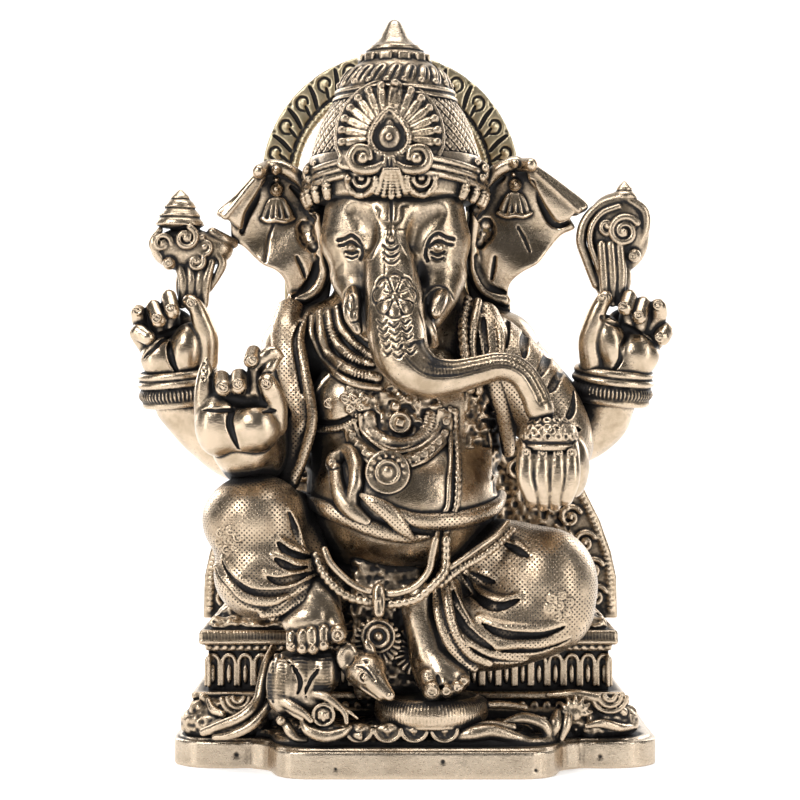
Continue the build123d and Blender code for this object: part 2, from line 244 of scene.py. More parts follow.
class Clay:
    """A piece being sculpted: distances to its surface on a grid that all pieces share."""

    def __init__(self, low, high):
        self.first = np.floor(np.array(low, float) / STEP).astype(int) - 3
        last = np.ceil(np.array(high, float) / STEP).astype(int) + 4
        self.d = np.full(tuple(last - self.first), FAR, np.float32)

    def window(self, low, high):
        a = np.clip(np.floor(np.array(low) / STEP).astype(int) - self.first, 0, self.d.shape)
        b = np.clip(np.ceil(np.array(high) / STEP).astype(int) + 1 - self.first, 0, self.d.shape)
        where = tuple(slice(p, q) for p, q in zip(a, b))
        axes = [((np.arange(p, q) + f) * STEP).astype(np.float32) for p, q, f in zip(a, b, self.first)]
        return where, np.ix_(*axes)

    def add(self, shape, k=0.5):
        f, low, high = shape
        pad = max(1.5, k)
        where, p = self.window(low - pad, high + pad)
        self.d[where] = smooth_min(self.d[where], f(*p), k)

    def cut(self, shape, k):
        f, low, high = shape
        pad = max(1.5, k)
        where, p = self.window(low - pad, high + pad)
        self.d[where] = smooth_max(self.d[where], -f(*p), k)

    def keep_above(self, z):
        where, p = self.window((-999,) * 3, (999,) * 3)
        self.d = np.maximum(self.d, z - p[2])

    def segments(self, points, reach, start):
        """Yields the window round each stretch of a path, with the distance and place along it."""
        run = 0.0
        for i, (a, b) in enumerate(zip(points, points[1:])):
            span = reach if np.isscalar(reach) else max(reach[i], reach[i + 1])
            where, (x, y, z) = self.window(np.minimum(a, b)[:3] - span, np.maximum(a, b)[:3] + span)
            inner = tuple(slice(w.start - s, w.stop - s) for w, s in zip(where, start))
            seg = (b - a)[:3]
            length = float(np.linalg.norm(seg)) + 1e-6
            x, y, z = x - a[0], y - a[1], z - a[2]
            t = np.clip((x * seg[0] + y * seg[1] + z * seg[2]) / length**2, 0, 1)
            yield inner, (x - t * seg[0], y - t * seg[1], z - t * seg[2]), t, run, length, i
            run += length

    def tube(self, stations, k, ribs=None, flat=1.0, cut=False, straight=False):
        """A tapering tube through (x, y, z, radius). ribs is (pitch, depth); flat thins it in depth."""
        s = np.array(stations, float) if straight else spline(stations)
        radius = s[:, 3]
        pad = max(1.5, k)
        span = radius.max() + pad
        where, _ = self.window(s[:, :3].min(0) - span, s[:, :3].max(0) + span)
        field = np.full(self.d[where].shape, FAR, np.float32)
        start = [w.start for w in where]
        for inner, (x, y, z), t, run, length, i in self.segments(s, radius + pad, start):
            r = radius[i] + (radius[i + 1] - radius[i]) * t
            if ribs:
                r = r - ribs[1] * (0.5 - 0.5 * np.cos(2 * math.pi * (run + t * length) / ribs[0]))
            gap = np.sqrt(x * x + (y / flat) ** 2 + z * z) - r
            field[inner] = np.minimum(field[inner], gap * (flat if flat < 1 else 1))
        mix = smooth_max(self.d[where], -field, k) if cut else smooth_min(self.d[where], field, k)
        self.d[where] = mix

    def line(self, points, width, depth, straight=False):
        """Cuts a groove along the points, or raises a welt where depth is negative."""
        s = np.array(points, float) if straight or len(points) < 3 else spline(points, 0.8)
        reach = 2.2 * width
        where, _ = self.window(s[:, :3].min(0) - reach, s[:, :3].max(0) + reach)
        field = np.zeros(self.d[where].shape, np.float32)
        start = [w.start for w in where]
        for inner, (x, y, z), *_ in self.segments(s, reach, start):
            field[inner] = np.maximum(field[inner], np.exp(-(x * x + y * y + z * z) / width**2))
        self.d[where] += depth * field

    def spots(self, points, width, depth):
        """Round punch marks, or bosses where depth is negative."""
        for p in points:
            reach = 2.2 * width
            where, (x, y, z) = self.window(np.array(p[:3]) - reach, np.array(p[:3]) + reach)
            away = (x - p[0]) ** 2 + (y - p[1]) ** 2 + (z - p[2]) ** 2
            self.d[where] += depth * np.exp(-away / width**2)

    def on(self, points, lift=0.0):
        """Lays (x, z, ...) points on the front of the piece, lift proud of it."""
        out = []
        depth = None
        for p in points:
            i = min(max(int(round(p[0] / STEP)) - self.first[0], 0), self.d.shape[0] - 1)
            k = min(max(int(round(p[1] / STEP)) - self.first[2], 0), self.d.shape[2] - 1)
            column = self.d[i, :, k]
            hits = np.nonzero(column < 0)[0]
            if len(hits) and hits[0] > 0:
                j = hits[0]
                part = column[j - 1] / (column[j - 1] - column[j])
                depth = (self.first[1] + j - 1 + part) * STEP
            out.append((p[0], (0.0 if depth is None else depth) - lift, p[1]) + tuple(p[2:]))
        return out

    def lay(self, host, path, radius, lift, k, **how):
        """A tube of one radius laid along an (x, z) path on the front of a host piece."""
        self.tube([(*p, radius) for p in host.on(path, lift)], k, **how)

    def engrave(self, depth_at):
        """Cuts a pattern into the whole surface: depth_at(x, y, z) is how deep it is at a place."""
        where, p = self.window((-999,) * 3, (999,) * 3)
        near = np.abs(self.d) < 1.4
        self.d = np.where(near, self.d + depth_at(*p), self.d).astype(np.float32)


# ---- the pieces ---------------------------------------------------------------------------------
pieces = []


def made(name, clay, finish, *nodes):
    """Keeps a sculpted piece, its finish and the CAD nodes it stands for."""
    pieces.append((name, clay, finish, nodes))


def sized(points, radii):
    """Gives each point of a path its own radius."""
    return [(*p, r) for p, r in zip(points, radii)]


def both(points):
    """Completes half an outline, given from the middle out, by its mirror image."""
    return [*points, *[(-x, y) for x, y in reversed(points) if x]]


# ---- ornament ----------------------------------------------------------------------------------
def crumple(u, v):
    """The uneven ground of a rough casting, in mm of depth: two grids of seeded heights, blended."""
    total = 0.1
    for seed, pitch, deep in ((1, 1.3, 0.35), (2, 2.6, 0.5)):
        table = np.random.default_rng(seed).uniform(-1, 1, (128, 128))
        p, q = u / pitch, v / pitch
        i, j = np.floor(p).astype(int), np.floor(q).astype(int)
        f, g = p - i, q - j
        f, g = f * f * (3 - 2 * f), g * g * (3 - 2 * g)
        near = table[i % 128, j % 128] * (1 - f) + table[(i + 1) % 128, j % 128] * f
        far = table[i % 128, (j + 1) % 128] * (1 - f) + table[(i + 1) % 128, (j + 1) % 128] * f
        total = total + deep * (near * (1 - g) + far * g)
    return total


def trench(clay, points, deep, k=0.4):
    """Carves a trench along (x, z, radius) points on the front of a piece, deep below its surface."""
    path = [(x, y - r + deep, z, r) for x, y, z, r in clay.on(points)]
    clay.tube(path, k, cut=True)


def fold(clay, points, width, deep):
    """A carved cloth fold: a trench that tapers at both ends under a soft crest."""
    n = len(points) - 1
    sizes = [width * (0.3 + 0.7 * math.sin(math.pi * (0.08 + 0.84 * i / n))) for i in range(n + 1)]
    raised = clay.on([(x, z + 1.25 * w) for (x, z), w in zip(points, sizes)], -0.35)
    clay.tube(sized(raised, sizes), 1.3)
    trench(clay, sized(points, sizes), deep)


def leaf(clay, root, tip, width):
    """A full leaf with a sunk midrib, lying on the piece."""
    root, tip = np.array(root, float), np.array(tip, float)
    run = tip - root
    clay.add(ball((root + tip) / 2, (width, 1.2, np.linalg.norm(run) / 2), along=run), 0.5)
    clay.line([root + run * 0.1, root + run * 0.9], 0.45, 0.5)


def curl(clay, centre, radius, turns, thick, side, start, k=0.3):
    """A scroll wound inwards on the front of a piece, ending in a small eye."""
    x, y, z = centre
    points = []
    steps = int(14 * turns)
    for i in range(steps + 1):
        t = i / steps
        angle = start + side * 2 * math.pi * turns * t
        r = radius * (1 - 0.82 * t)
        points.append((x + r * math.cos(angle), y, z + r * math.sin(angle), thick * (1 - 0.45 * t)))
    clay.tube(points, k)
    clay.add(ball((x, y - 0.2, z), thick * 0.9), k)


def ringed_boss(clay, x, z, r):
    """A small ring with a dot in it, set on the front of a piece."""
    spot = clay.on([(x, z)], 0.1)[0]
    clay.add(ring(spot, r, 0.38), 0.12)
    clay.add(ball(spot, 0.5 * r), 0.1)


def floret(clay, x, z, size):
    """A flower of seven ringed bosses laid on the front of a piece."""
    ringed_boss(clay, x, z, 1.1)
    for i in range(6):
        a = math.pi * i / 3 + 0.3
        ringed_boss(clay, x + size * math.cos(a), z + size * math.sin(a), 1.1)


def scallops(clay, x, y, z, radii):
    """Arcs one inside the other, open at the top."""
    for r in radii:
        turns = np.linspace(math.pi * 1.05, math.pi * 1.95, 11)
        clay.tube([(x + r * math.cos(a), y + 0.2 * r, z + r * math.sin(a), 0.75) for a in turns], 0.2)


# ---- base and seat ------------------------------------------------------------------------------
BASE_MID, BASE_TOP = 4.4, 8.5
MOUND_TOP = 13.5
SEAT_MID = 2.5
SEAT_TOP = 38.5


def base_outline(inset):
    w = 70.4 - inset
    front, lobe = -45.5 + inset, -27.5 + inset
    half = [
        (0, front), (20, front), (33, front + 0.5), (39, front + 5), (42, lobe - 4), (46.5, lobe - 0.5),
        (48.5, lobe + 0.5), (54, lobe), (63, lobe + 1.5), (68.4 - inset, lobe + 6), (w, lobe + 12),
        (w, 5), (w, 36), (w - 2, 43 - inset), (w - 8, 45.5 - inset), (30, 45.5 - inset), (0, 45.5 - inset),
    ]
    mirrored = [(-x, y) for x, y in reversed(half[1:-1])]
    return [(x + BASE_MID, y) for x, y, *_ in spline([*half, *mirrored, half[0]], 2.0)[:-1]]


def make_base():
    clay = Clay((-68, -47, 0), (77, 47, 10))
    clay.add(plate(base_outline(0), 0, BASE_TOP - 0.8, 0.8), 0)
    clay.add(plate(base_outline(1.6), 2, BASE_TOP, 0.8), 0.8)
    clay.cut(plate(base_outline(14), -2, BASE_TOP - 3.5, 1.5), 0.8)
    clay.keep_above(0)
    for x, z, size in ((-47, 4, 0.8), (12, 5, 0.6), (57.5, 3.5, 0.7), (-18, 3, 0.4), (38, 2.5, 0.5)):
        clay.spots(clay.on([(x, z)]), size, 0.6)
    made("base_plinth", clay, "base", "base_plate")


def make_lotus():
    clay = Clay((-64, -47, 7), (73, 43, 21))
    clay.add(plate(base_outline(6), 7, 10.5, 1.5), 0)
    clay.add(plate([(x * 0.9 + 0.5, y * 0.88) for x, y in base_outline(9)], 9, MOUND_TOP, 1.5), 1.5)
    clay.engrave(lambda x, y, z: crumple(x, y + z) * (z > 10.5))
    # hanging petals under the cushion, each a rim round a smaller pointed leaf
    for x in (-19.5, -11.5, -3.5, 4.0, 12.5):
        clay.add(ball((x, -40.0, 12.4), (3.9, 1.6, 2.7)), 0.25)
        turns = np.linspace(math.pi, 2 * math.pi, 13)
        rim = [(x + 3.6 * math.cos(a), -41.3, 13.3 + 3.2 * math.sin(a), 0.65) for a in turns]
        clay.tube(rim, 0.15)
        vein = [(x - 2.5, -41.6, 13.4), (x, -41.8, 11.1), (x + 2.5, -41.6, 13.4)]
        clay.line(vein, 0.4, 0.7, straight=True)
        clay.add(ball((x, -41.1, 13.2), (1.4, 0.9, 1.0)), 0.15)
    # long smooth leaves run out from under the petals
    clay.tube([
        (16, -40, 11, 1.2), (20.5, -40, 12, 2.2), (26, -39, 12.5, 2.2), (32.5, -38, 10.5, 1.8),
        (37, -37, 9.5, 1),
    ], 0.4)
    clay.tube([(19, -38, 13, 0.8), (25, -38, 14.5, 1), (32, -37, 13.5, 1)], 0.3)
    clay.tube([(30, -35, 14.5, 1), (35.5, -34, 15.5, 1.7), (41, -34, 13.5, 1.7), (42, -34, 10, 1.2)], 0.4)
    clay.tube([(41.5, -33, 9, 1), (44, -32, 13, 2), (45, -30, 16.5, 1.2)], 0.4)
    clay.tube([(22.5, -30, 18.5, 0.9), (29, -28, 18.5, 1.2), (36, -27, 17.5, 1)], 0.4)
    # plain petals along both sides
    for side in (-1, 1):
        for i in range(5):
            at = (BASE_MID + side * 62.5, -4 + i * 9.2, 11.2)
            clay.add(ball(at, (1.9, 3.8, 2.9), along=(0, 0.1, 1), front=(side, 0, 0)), 0.4)
    made("lotus_mound", clay, "chased", "lotus_plate")


def frieze(gap, shape, x_half, front, rear):
    """Repeats a motif round the seat. shape(x, y, u, v) sets one, facing the level direction (u, v)."""
    n = int(2 * x_half / gap)
    for i in range(n + 1):
        x = -x_half + 2 * x_half * i / n
        shape(SEAT_MID + x, front, 0, -1)
        shape(SEAT_MID + x, rear, 0, 1)
    m = int((rear - front) / gap)
    for i in range(m + 1):
        y = front + (rear - front) * i / m
        shape(SEAT_MID - x_half - 0.6, y, -1, 0)
        shape(SEAT_MID + x_half + 0.6, y, 1, 0)


def slab(clay, half, front, rear, low, high, edge, k=0.0):
    """One level slab of the seat."""
    centre = (SEAT_MID, (front + rear) / 2, (low + high) / 2)
    clay.add(block(centre, (half, (rear - front) / 2, (high - low) / 2), edge, (0, 0, 1)), k)


def make_seat_foot():
    foot = Clay((-64, -20, 12), (69, 43, 22))
    slab(foot, 64.5, -17.5, 41.5, 12, 16.5, 1.2)
    slab(foot, 62.0, -15.5, 40.0, 15, 19, 1.0, 0.4)
    slab(foot, 63.5, -16.8, 41.0, 18.4, 20.6, 0.8, 0.3)

    def dart(x, y, u, v):
        foot.add(ball((x, y, 16.2), (1.5, 0.9, 1.9), along=(0, 0, 1), front=(u, v, 0)), 0.2)
        foot.spots([(x + u, y + v, 16.4)], 0.4, 0.4)

    frieze(3.6, dart, 62.5, -16.4, 40.4)
    made("seat_foot_tier", foot, "chased", "seat_foot")


def make_arcade():
    arcade = Clay((-62, -17, 20), (67, 41, 34))
    slab(arcade, 59.0, -12.0, 38.0, 20, 33.5, 0.6)
    half, foot, spring, rise = 1.9, 22.2, 28.6, 2.6
    arch = [(half * math.cos(a), spring + rise * math.sin(a)) for a in np.linspace(0, math.pi, 9)]
    arch = [(half, foot), *arch, (-half, foot)]

    def niche(x, y, u, v):
        rim = [(x - v * a + u * 0.3, y + u * a + v * 0.3, z, 0.62) for a, z in arch]
        arcade.tube(rim, 0.15, straight=True)
        at = (x + u * 0.1, y + v * 0.1, 25.4)
        arcade.add(ball(at, (0.8, 0.6, 2.9), along=(0, 0, 1), front=(u, v, 0)), 0.2)
        arcade.spots([(x + u * 0.2, y + v * 0.2, 30.0)], 0.55, -0.5)

    frieze(4.7, niche, 57.6, -12.2, 38.2)
    made("seat_arcade_tier", arcade, "chased", "seat_arcade")


def make_seat_slab():
    top = Clay((-64, -20, 32), (69, 43, 48))
    slab(top, 59.0, -13.5, 39.0, 32.2, 34.6, 0.6)
    slab(top, 61.5, -15.6, 40.5, 34.2, SEAT_TOP, 0.9, 0.3)

    def rib(x, y, *_):
        top.line([(x, y, 38.2), (x, y, 36.0)], 0.3, 0.5)

    frieze(0.95, rib, 61.0, -15.4, 40.3)
    # worked cloth thrown over the seat
    slab(top, 58.5, -13.0, 38.5, 38.0, 42.0, 2.0, 0.3)
    slab(top, 55.5, -9.0, 37.0, 40.0, 46.0, 3.0, 2.0)
    top.engrave(lambda x, y, z: crumple(x, y + z) * (z > 38.8))

    def tab(x, y, u, v):
        top.add(ball((x, y, 33.4), (0.9, 0.6, 1.0), along=(0, 0, 1), front=(u, v, 0)), 0.15)

    frieze(2.35, tab, 58.6, -13.4, 38.8)
    made("seat_top_slab", top, "chased", "seat_slab")


def make_seat_back():
    clay = Clay((-65, 28, 36), (72, 45, 101))
    mid = SEAT_MID + 0.8
    half = [(0, 98), (20, 97), (38, 93), (47, 88), (54, 80), (60, 68), (63.5, 58), (65.2, 50), (65.5, 37)]
    clay.add(sheet([(x + mid, z) for x, z in both(half)], lambda x, z: 37.5, 2.6, 1.0), 0)
    rim = [(0, 95.5), (20, 94.5), (37, 90.5), (51, 80), (58, 67), (62.2, 55), (63.2, 40)]
    for side in (-1, 1):
        clay.tube([(mid + side * x, 36.0, z, 1.7) for x, z in spline(rim, 3.0)], 0.4, ribs=(1.6, 0.5))
        for x, z in ((58.5, 44), (57.5, 52.5), (55, 61), (50.5, 69), (44, 77), (34, 84)):
            curl(clay, (mid + side * x, 34.6, z), 3.6, 1.4, 1.0, side, 0.5)
            leaf(clay, (mid + side * (x - 3), 35, z + 1), (mid + side * (x - 9), 35, z + 5), 1.8)
    clay.engrave(lambda x, y, z: crumple(x, z) * (y < 36.6) * (abs(x - mid) < 50))
    # the rear is plain but for a lozenge trellis in low relief
    for i in range(-6, 7):
        for lean in (-24, 24):
            x = SEAT_MID + i * 9
            clay.line([(x - lean, 40.1, 40), (x + lean, 40.1, 95)], 0.6, 0.5, straight=True)
    made("seat_back_panel", clay, "chased", "seat_back")


def make_right_scroll():
    clay = Clay((-68, -40, 8), (-34, 0, 40))
    clay.add(ball((-51, -17, 12), (13, 8, 7.5)), 0)
    clay.engrave(lambda x, y, z: crumple(x, z))
    clay.tube([
        (-37, -20, 34, 1), (-38.5, -23, 30, 1.5), (-39.5, -26, 25, 1.7), (-40.5, -28, 20, 1.8),
        (-43, -30, 17, 1.8), (-46.5, -30, 14.5, 1.8), (-51.5, -29, 12.5, 1.6), (-56.5, -27, 10.5, 1.2),
    ], 0.4)
    clay.tube([
        (-37.5, -30, 18.5, 1.2), (-42, -32, 13.5, 1.4), (-48, -32, 10.5, 1.2), (-53, -30, 9.5, 0.9),
    ], 0.3)
    scallops(clay, -46.5, -26.6, 20.5, (1.5, 3.2, 4.9))
    curl(clay, (-58.5, -20, 16.5), 3.4, 1.3, 1.2, -1, 1.2, 0.4)
    clay.tube([(-61, -18, 15, 0.8), (-59, -20, 12.5, 1.3), (-55, -23, 12, 1.3), (-51, -25, 14, 0.8)], 0.3)
    clay.tube([(-55.5, -22, 19, 0.8), (-54, -24, 16.5, 1.2), (-51, -26, 15.5, 1)], 0.3)
    made("right_scroll_stem", clay, "chased", "right_scroll")


def make_left_scroll():
    clay = Clay((38, -40, 8), (74, 0, 40))
    clay.add(ball((57, -17, 12), (13, 8, 7.5)), 0)
    clay.engrave(lambda x, y, z: crumple(x, z))
    clay.tube([(43, -22, 20.5, 1), (50.5, -24, 21, 1.4), (58, -24, 19.5, 1.5), (64.5, -22, 15.5, 1.5)], 0.4)
    # a half flower of seven petals
    hub = np.array((50, -29, 16))
    for i in range(7):
        a = 0.1 + 0.48 * i
        u, v = math.cos(a), math.sin(a)
        petal = [hub + (reach * u, y, reach * v) for reach, y in ((1.0, 0), (3.0, -0.6), (5.0, 0.8))]
        clay.tube(sized(petal, (0.6, 0.9, 0.5)), 0.2)
    clay.add(ball(hub, (2.2, 1.5, 2.0)), 0.3)
    scallops(clay, 60.5, -25.6, 21.0, (1.6, 3.3, 5.0))
    curl(clay, (66.5, -18, 15), 3.2, 1.3, 1.2, 1, 1.8, 0.4)
    clay.tube([(53.5, -28, 12.5, 0.8), (58, -27, 13, 1.3), (63.5, -25, 11.5, 1.3), (68, -20, 11, 0.8)], 0.3)
    clay.tube([(46, -32, 9.5, 0.9), (47.5, -31, 13.5, 1.6), (48.5, -29, 17.5, 1)], 0.3)
    made("left_scroll_stem", clay, "chased", "left_scroll")


def make_foot_cushion():
    clay = Clay((-9, -46, 12), (28, -9, 23))
    at = np.array((9.0, -27, 17.4))
    clay.add(disc(at, 16.6, 3.7, 2.6, (0, 0, 1)), 0)
    rib = ((14.6, 3.6), (16.2, 2.2), (16.9, -0.2), (16.4, -2.8))
    count = 102
    for i in range(count):
        a = 2 * math.pi * i / count
        path = [at + (r * math.cos(a), r * math.sin(a), h) for r, h in rib]
        clay.line(path, 0.36, 0.85, straight=True)
    clay.add(ring(at + (0, 0, 3.4), 13.2, 0.6, (0, 0, 1)), 0.2)
    clay.add(disc(at + (0, 0, -3.2), 15.6, 1.0, 0.6, (0, 0, 1)), 0.2)
    made("foot_cushion_disc", clay, "polished", "foot_cushion")


# ---- body ---------------------------------------------------------------------------------------
def make_torso():
    clay = Clay((-42, -40, 36), (42, 30, 160))
    # belly, chest, hips and shoulders
    clay.add(ball((0.5, -10, 76), (28.5, 25.5, 22)), 0)
    clay.add(ball((0.5, -3, 90), (30, 19, 18)), 5)
    clay.add(ball((0, -1, 102), (27, 20, 24)), 7)
    clay.add(ball((-14, -13, 105), (11, 8.5, 10)), 4)
    clay.add(ball((14, -13, 105), (11, 8.5, 10)), 4)
    clay.add(ball((0, 6, 52), (36, 22, 18)), 7)
    clay.tube([(-30, 4, 121, 11.5), (0, 4, 127, 14), (30, 4, 121, 11.5)], 6)
    clay.tube([(0, 4, 122, 18), (0, 2, 139, 19)], 4)
    clay.keep_above(SEAT_TOP - 1)
    # fold under the breast
    trench(clay, [(-27, 102.5, 0.5), (-24, 100, 0.9), (-19, 99, 1.0), (-14.5, 101, 0.6)], 1.0)
    grounds = (
        lambda x, y, z: (y < -12) * ((x / 13) ** 2 + ((z - 101) / 9) ** 2 < 1),  # inside the collar
        lambda x, y, z: (y < -12) * (z < 58),  # under the belly
        lambda x, y, z: (y < 6) * (abs(x - 0.5) > 26.5) * (z < 104),  # beside the belly
        lambda x, y, z: (y < -12) * (x > 19) * (z > 92),  # under the left shawl
    )
    for ground in grounds:
        clay.engrave(lambda x, y, z: crumple(x, z) * ground(x, y, z))
    # nipple and small florets on the bare breast
    ringed_boss(clay, -21, 105, 1.1)
    for x, z in (
        (-14.5, 109), (-11.5, 109), (-16, 106.5), (-13.5, 106.5), (-10.5, 106.5), (-14.5, 103.5),
        (-11.5, 104),
    ):
        ringed_boss(clay, x, z, 1.05)
    made("torso_body", clay, "polished", "torso")
    return clay


def make_right_leg():
    """The raised leg in its cloth."""
    leg = Clay((-64, -48, 36), (2, 24, 90))
    # hip, thigh, knee and shin
    leg.add(ball((-24, 0, 52), (22, 17, 14)), 0)
    leg.tube([(-30, 5, 62, 14), (-35.5, -10, 66, 14), (-41, -22, 70, 13.5)], 4)
    leg.add(ball((-42, -26, 71.5), (14.6, 14, 12.5)), 4)
    leg.add(ball((-38.5, -28, 56), (14.6, 13, 13)), 4)
    leg.tube([(-30.5, -16, 72.5, 6), (-28, -20, 64, 6.5), (-27, -24, 56.5, 6), (-29, -28, 51, 6)], 3)
    leg.keep_above(SEAT_TOP - 1.5)
    for path, width, deep in (
        ([
            (-50, 60), (-47, 55.5), (-42.5, 52.5), (-38, 51.5), (-31.5, 52), (-26.5, 54), (-22, 56.5),
        ], 1.4, 1.7),
        ([(-52.5, 57.5), (-49.5, 53), (-45.5, 49), (-41, 47.5), (-36, 47.5), (-32.5, 49.5)], 1.4, 1.7),
        ([(-34.5, 66), (-32, 63), (-28.5, 61.5), (-24.5, 60.5)], 1.3, 1.6),
        ([(-35.5, 61.5), (-32.5, 59.5), (-29, 58), (-24, 59)], 1.3, 1.6),
        ([(-37.5, 56.5), (-34, 55), (-30, 55.5), (-24.5, 57)], 1.3, 1.6),
        ([(-31.5, 74), (-29.5, 68.5), (-27.5, 63.5)], 1.0, 1.0),
    ):
        fold(leg, path, width, deep)
    for hem in (
        [(-36, 44.5), (-33, 44.5), (-29, 47), (-24.5, 50), (-21, 53)],
        [(-38.5, 45.5), (-34.5, 46), (-30.5, 48), (-27, 50), (-22.5, 54.5)],
    ):
        leg.lay(leg, hem, 1.5, 0.1, 0.25, ribs=(0.95, 0.45), flat=0.8)
    floret(leg, -48.5, 66.5, 2.9)
    made("right_leg_cloth", leg, "cloth", "right_leg")


def make_right_foot():
    foot = Clay((-42, -48, 26), (-12, -18, 54))
    # ankle, instep and the great toe bent to the side
    foot.tube([(-24.5, -28, 51, 6.6), (-24, -30, 47, 7.4), (-24.5, -32, 44, 6.8)], 1.5)
    foot.add(ball((-25.5, -34, 43), (8.2, 5.4, 5.2)), 2.5)
    foot.tube([(-22, -32, 49, 4), (-19.5, -35, 44.5, 3.4), (-17.5, -38, 40.5, 2.6)], 1.0)
    foot.add(ball((-17.5, -39.5, 40), (2.6, 2.2, 2.8)), 0.4)
    ringed_boss(foot, -17.5, 40, 1.5)
    toes = (
        (-30.5, -38.5, 36.5, 1.5), (-27.5, -39.5, 36, 1.6), (-24.5, -40, 36, 1.6), (-21.5, -40, 37, 1.6),
    )
    roots = (
        (-30.5, -37.5, 39.5, 1.8), (-27.5, -39, 40, 1.8), (-25, -39.5, 40.5, 1.9), (-21.5, -39, 41, 1.9),
    )
    for toe, root in zip(toes, roots):
        foot.tube([root, toe], 0.25, straight=True)
        foot.add(ball((toe[0], toe[1] - 0.4, toe[2]), (1.7, 1.6, 1.7)), 0.15)
        nail = foot.on([(toe[0], toe[2] + 0.5)], 0.05)[0]
        foot.add(ring(nail, 0.75, 0.25), 0.08)
    made("right_foot_bare", foot, "polished", "right_foot")


def make_left_leg():
    """The lowered leg: thigh and knee to the side, shin hanging to the cushion."""
    leg = Clay((-2, -48, 20), (68, 26, 84))
    # hip, thigh, knee and shin
    leg.add(ball((24, -3, 51), (25, 19, 15)), 0)
    leg.tube([(15, -5, 58.5, 12), (31, -16, 57.5, 13.5), (42, -22, 54, 14)], 4)
    leg.add(ball((43, -24, 51), (13.2, 14, 17)), 4)
    leg.add(ball((30.5, -27, 40.5), (11.5, 12, 24), along=(110, 0, 25)), 4)
    leg.tube([(14, -30, 52, 3.6), (14.5, -33, 44.5, 4.2), (17, -33, 37.5, 4.6), (21.5, -31, 33.5, 4.6)], 2)
    for path, width, deep in (
        ([(19, 55), (21, 50.5), (25, 48), (29, 47.5), (34, 49.5)], 1.5, 1.8),
        ([(15, 48), (18.5, 41.5), (23, 37.5), (27.5, 35.5)], 1.4, 1.8),
        ([(22.5, 43.5), (28, 40.5), (34.5, 39.5), (40.5, 40), (46, 42)], 1.5, 1.9),
        ([(28.5, 35.5), (34, 35.5), (39.5, 35.5), (47.5, 38)], 1.4, 1.8),
        ([(19, 37), (23, 33.5), (28.5, 32), (35.5, 31.5)], 1.2, 1.4),
        ([(21, 56), (24, 54.5), (27, 54)], 1.2, 1.2),
        ([(30.5, 64.5), (33.5, 63), (36.5, 61.5)], 1.2, 1.2),
        ([(15, 52), (16.5, 47), (20, 42)], 1.1, 1.4),
    ):
        fold(leg, path, width, deep)
    for hem in (
        [(10.5, 51.5), (11, 45), (13.5, 38), (17.5, 32), (21, 29.5)],
        [(13, 52), (14, 46), (16, 39.5), (20, 34), (25, 31.5)],
    ):
        leg.lay(leg, hem, 1.5, 0.1, 0.25, ribs=(0.95, 0.45), flat=0.8)
    floret(leg, 45, 48, 3.0)
    made("left_leg_cloth", leg, "cloth", "left_leg")


def make_left_foot():
    foot = Clay((-2, -48, 19), (26, -16, 64))
    # shin and instep, with a ridge along the inner side
    foot.tube([
        (5.5, -29, 50, 4.4), (6, -29.5, 43.5, 4.8), (8, -30, 37.5, 5.4), (9.5, -31, 32.5, 5.8),
        (12, -33, 29, 5.8), (14, -35, 27, 4.8),
    ], 0)
    foot.tube([(2.5, -29, 46, 1.8), (4, -30, 37.5, 1.8), (5, -32, 30.5, 2), (7.5, -36, 25.5, 2.4)], 1.6)
    foot.add(ball((12.5, -34, 27), (7.2, 5.4, 4.8)), 2)
    toes = ((9, -40, 24, 2.7), (13, -40, 24, 2), (16, -39.5, 25, 1.9), (18, -38, 26.5, 1.7))
    roots = ((8, -37, 27.5, 2.9), (12, -37.5, 27, 2.3), (14.5, -37, 28, 2.1), (16.5, -35.5, 29, 2))
    for toe, root in zip(toes, roots):
        foot.tube([root, toe], 0.3, straight=True)
        foot.add(ball((toe[0], toe[1] - 0.5, toe[2] + 0.3), 1.05 * toe[3]), 0.15)
        nail = foot.on([(toe[0], toe[2] + 0.4)], 0.05)[0]
        foot.add(ring(nail, 0.42 * toe[3] + 0.15, 0.25), 0.08)
    trench(foot, [(10.5, 28.5, 0.3), (11.5, 25.5, 0.8), (11.5, 22.5, 0.8)], 1.0)
    made("left_foot_bare", foot, "polished", "left_foot")


def make_sash():
    """The sash that hangs between the legs: two pleated fans and a rosette."""
    clay = Clay((-22, -42, 18), (16, -8, 66))
    clay.add(block((-4, -20, 40), (10, 4, 21), 3, (0, 0, 1)), 0)
    pleats = 22
    for x, y, z, r in ((5.5, -26.0, 34.0, 7.0), (-6.5, -29.0, 37.0, 6.4)):
        clay.add(disc((x, y, z), r, 1.6, 0.9), 0.4)
        for i in range(pleats):
            a = 2 * math.pi * i / pleats
            u, v = r * math.cos(a), r * math.sin(a)
            path = [(x + u * s, y - 1.7, z + v * s) for s in (0.55, 0.8, 1.0)]
            clay.tube(sized(path, (0.35, 0.55, 0.7)), 0.12, straight=True)
    rose = np.array((-6.2, -31.2, 38.6))
    clay.add(ball(rose, (4.0, 1.6, 4.0)), 0.3)
    clay.add(ring(rose + (0, -1.3, 0), 2.9, 0.6), 0.12)
    clay.add(ball(rose + (0, -1.6, 0), 1.4), 0.1)
    clay.add(ring(rose + (0, -0.3, 0), 4.5, 0.45), 0.12)
    clay.engrave(lambda x, y, z: crumple(x, z) * (y > -27.5))
    made("front_sash_pleats", clay, "chased", "front_sash")


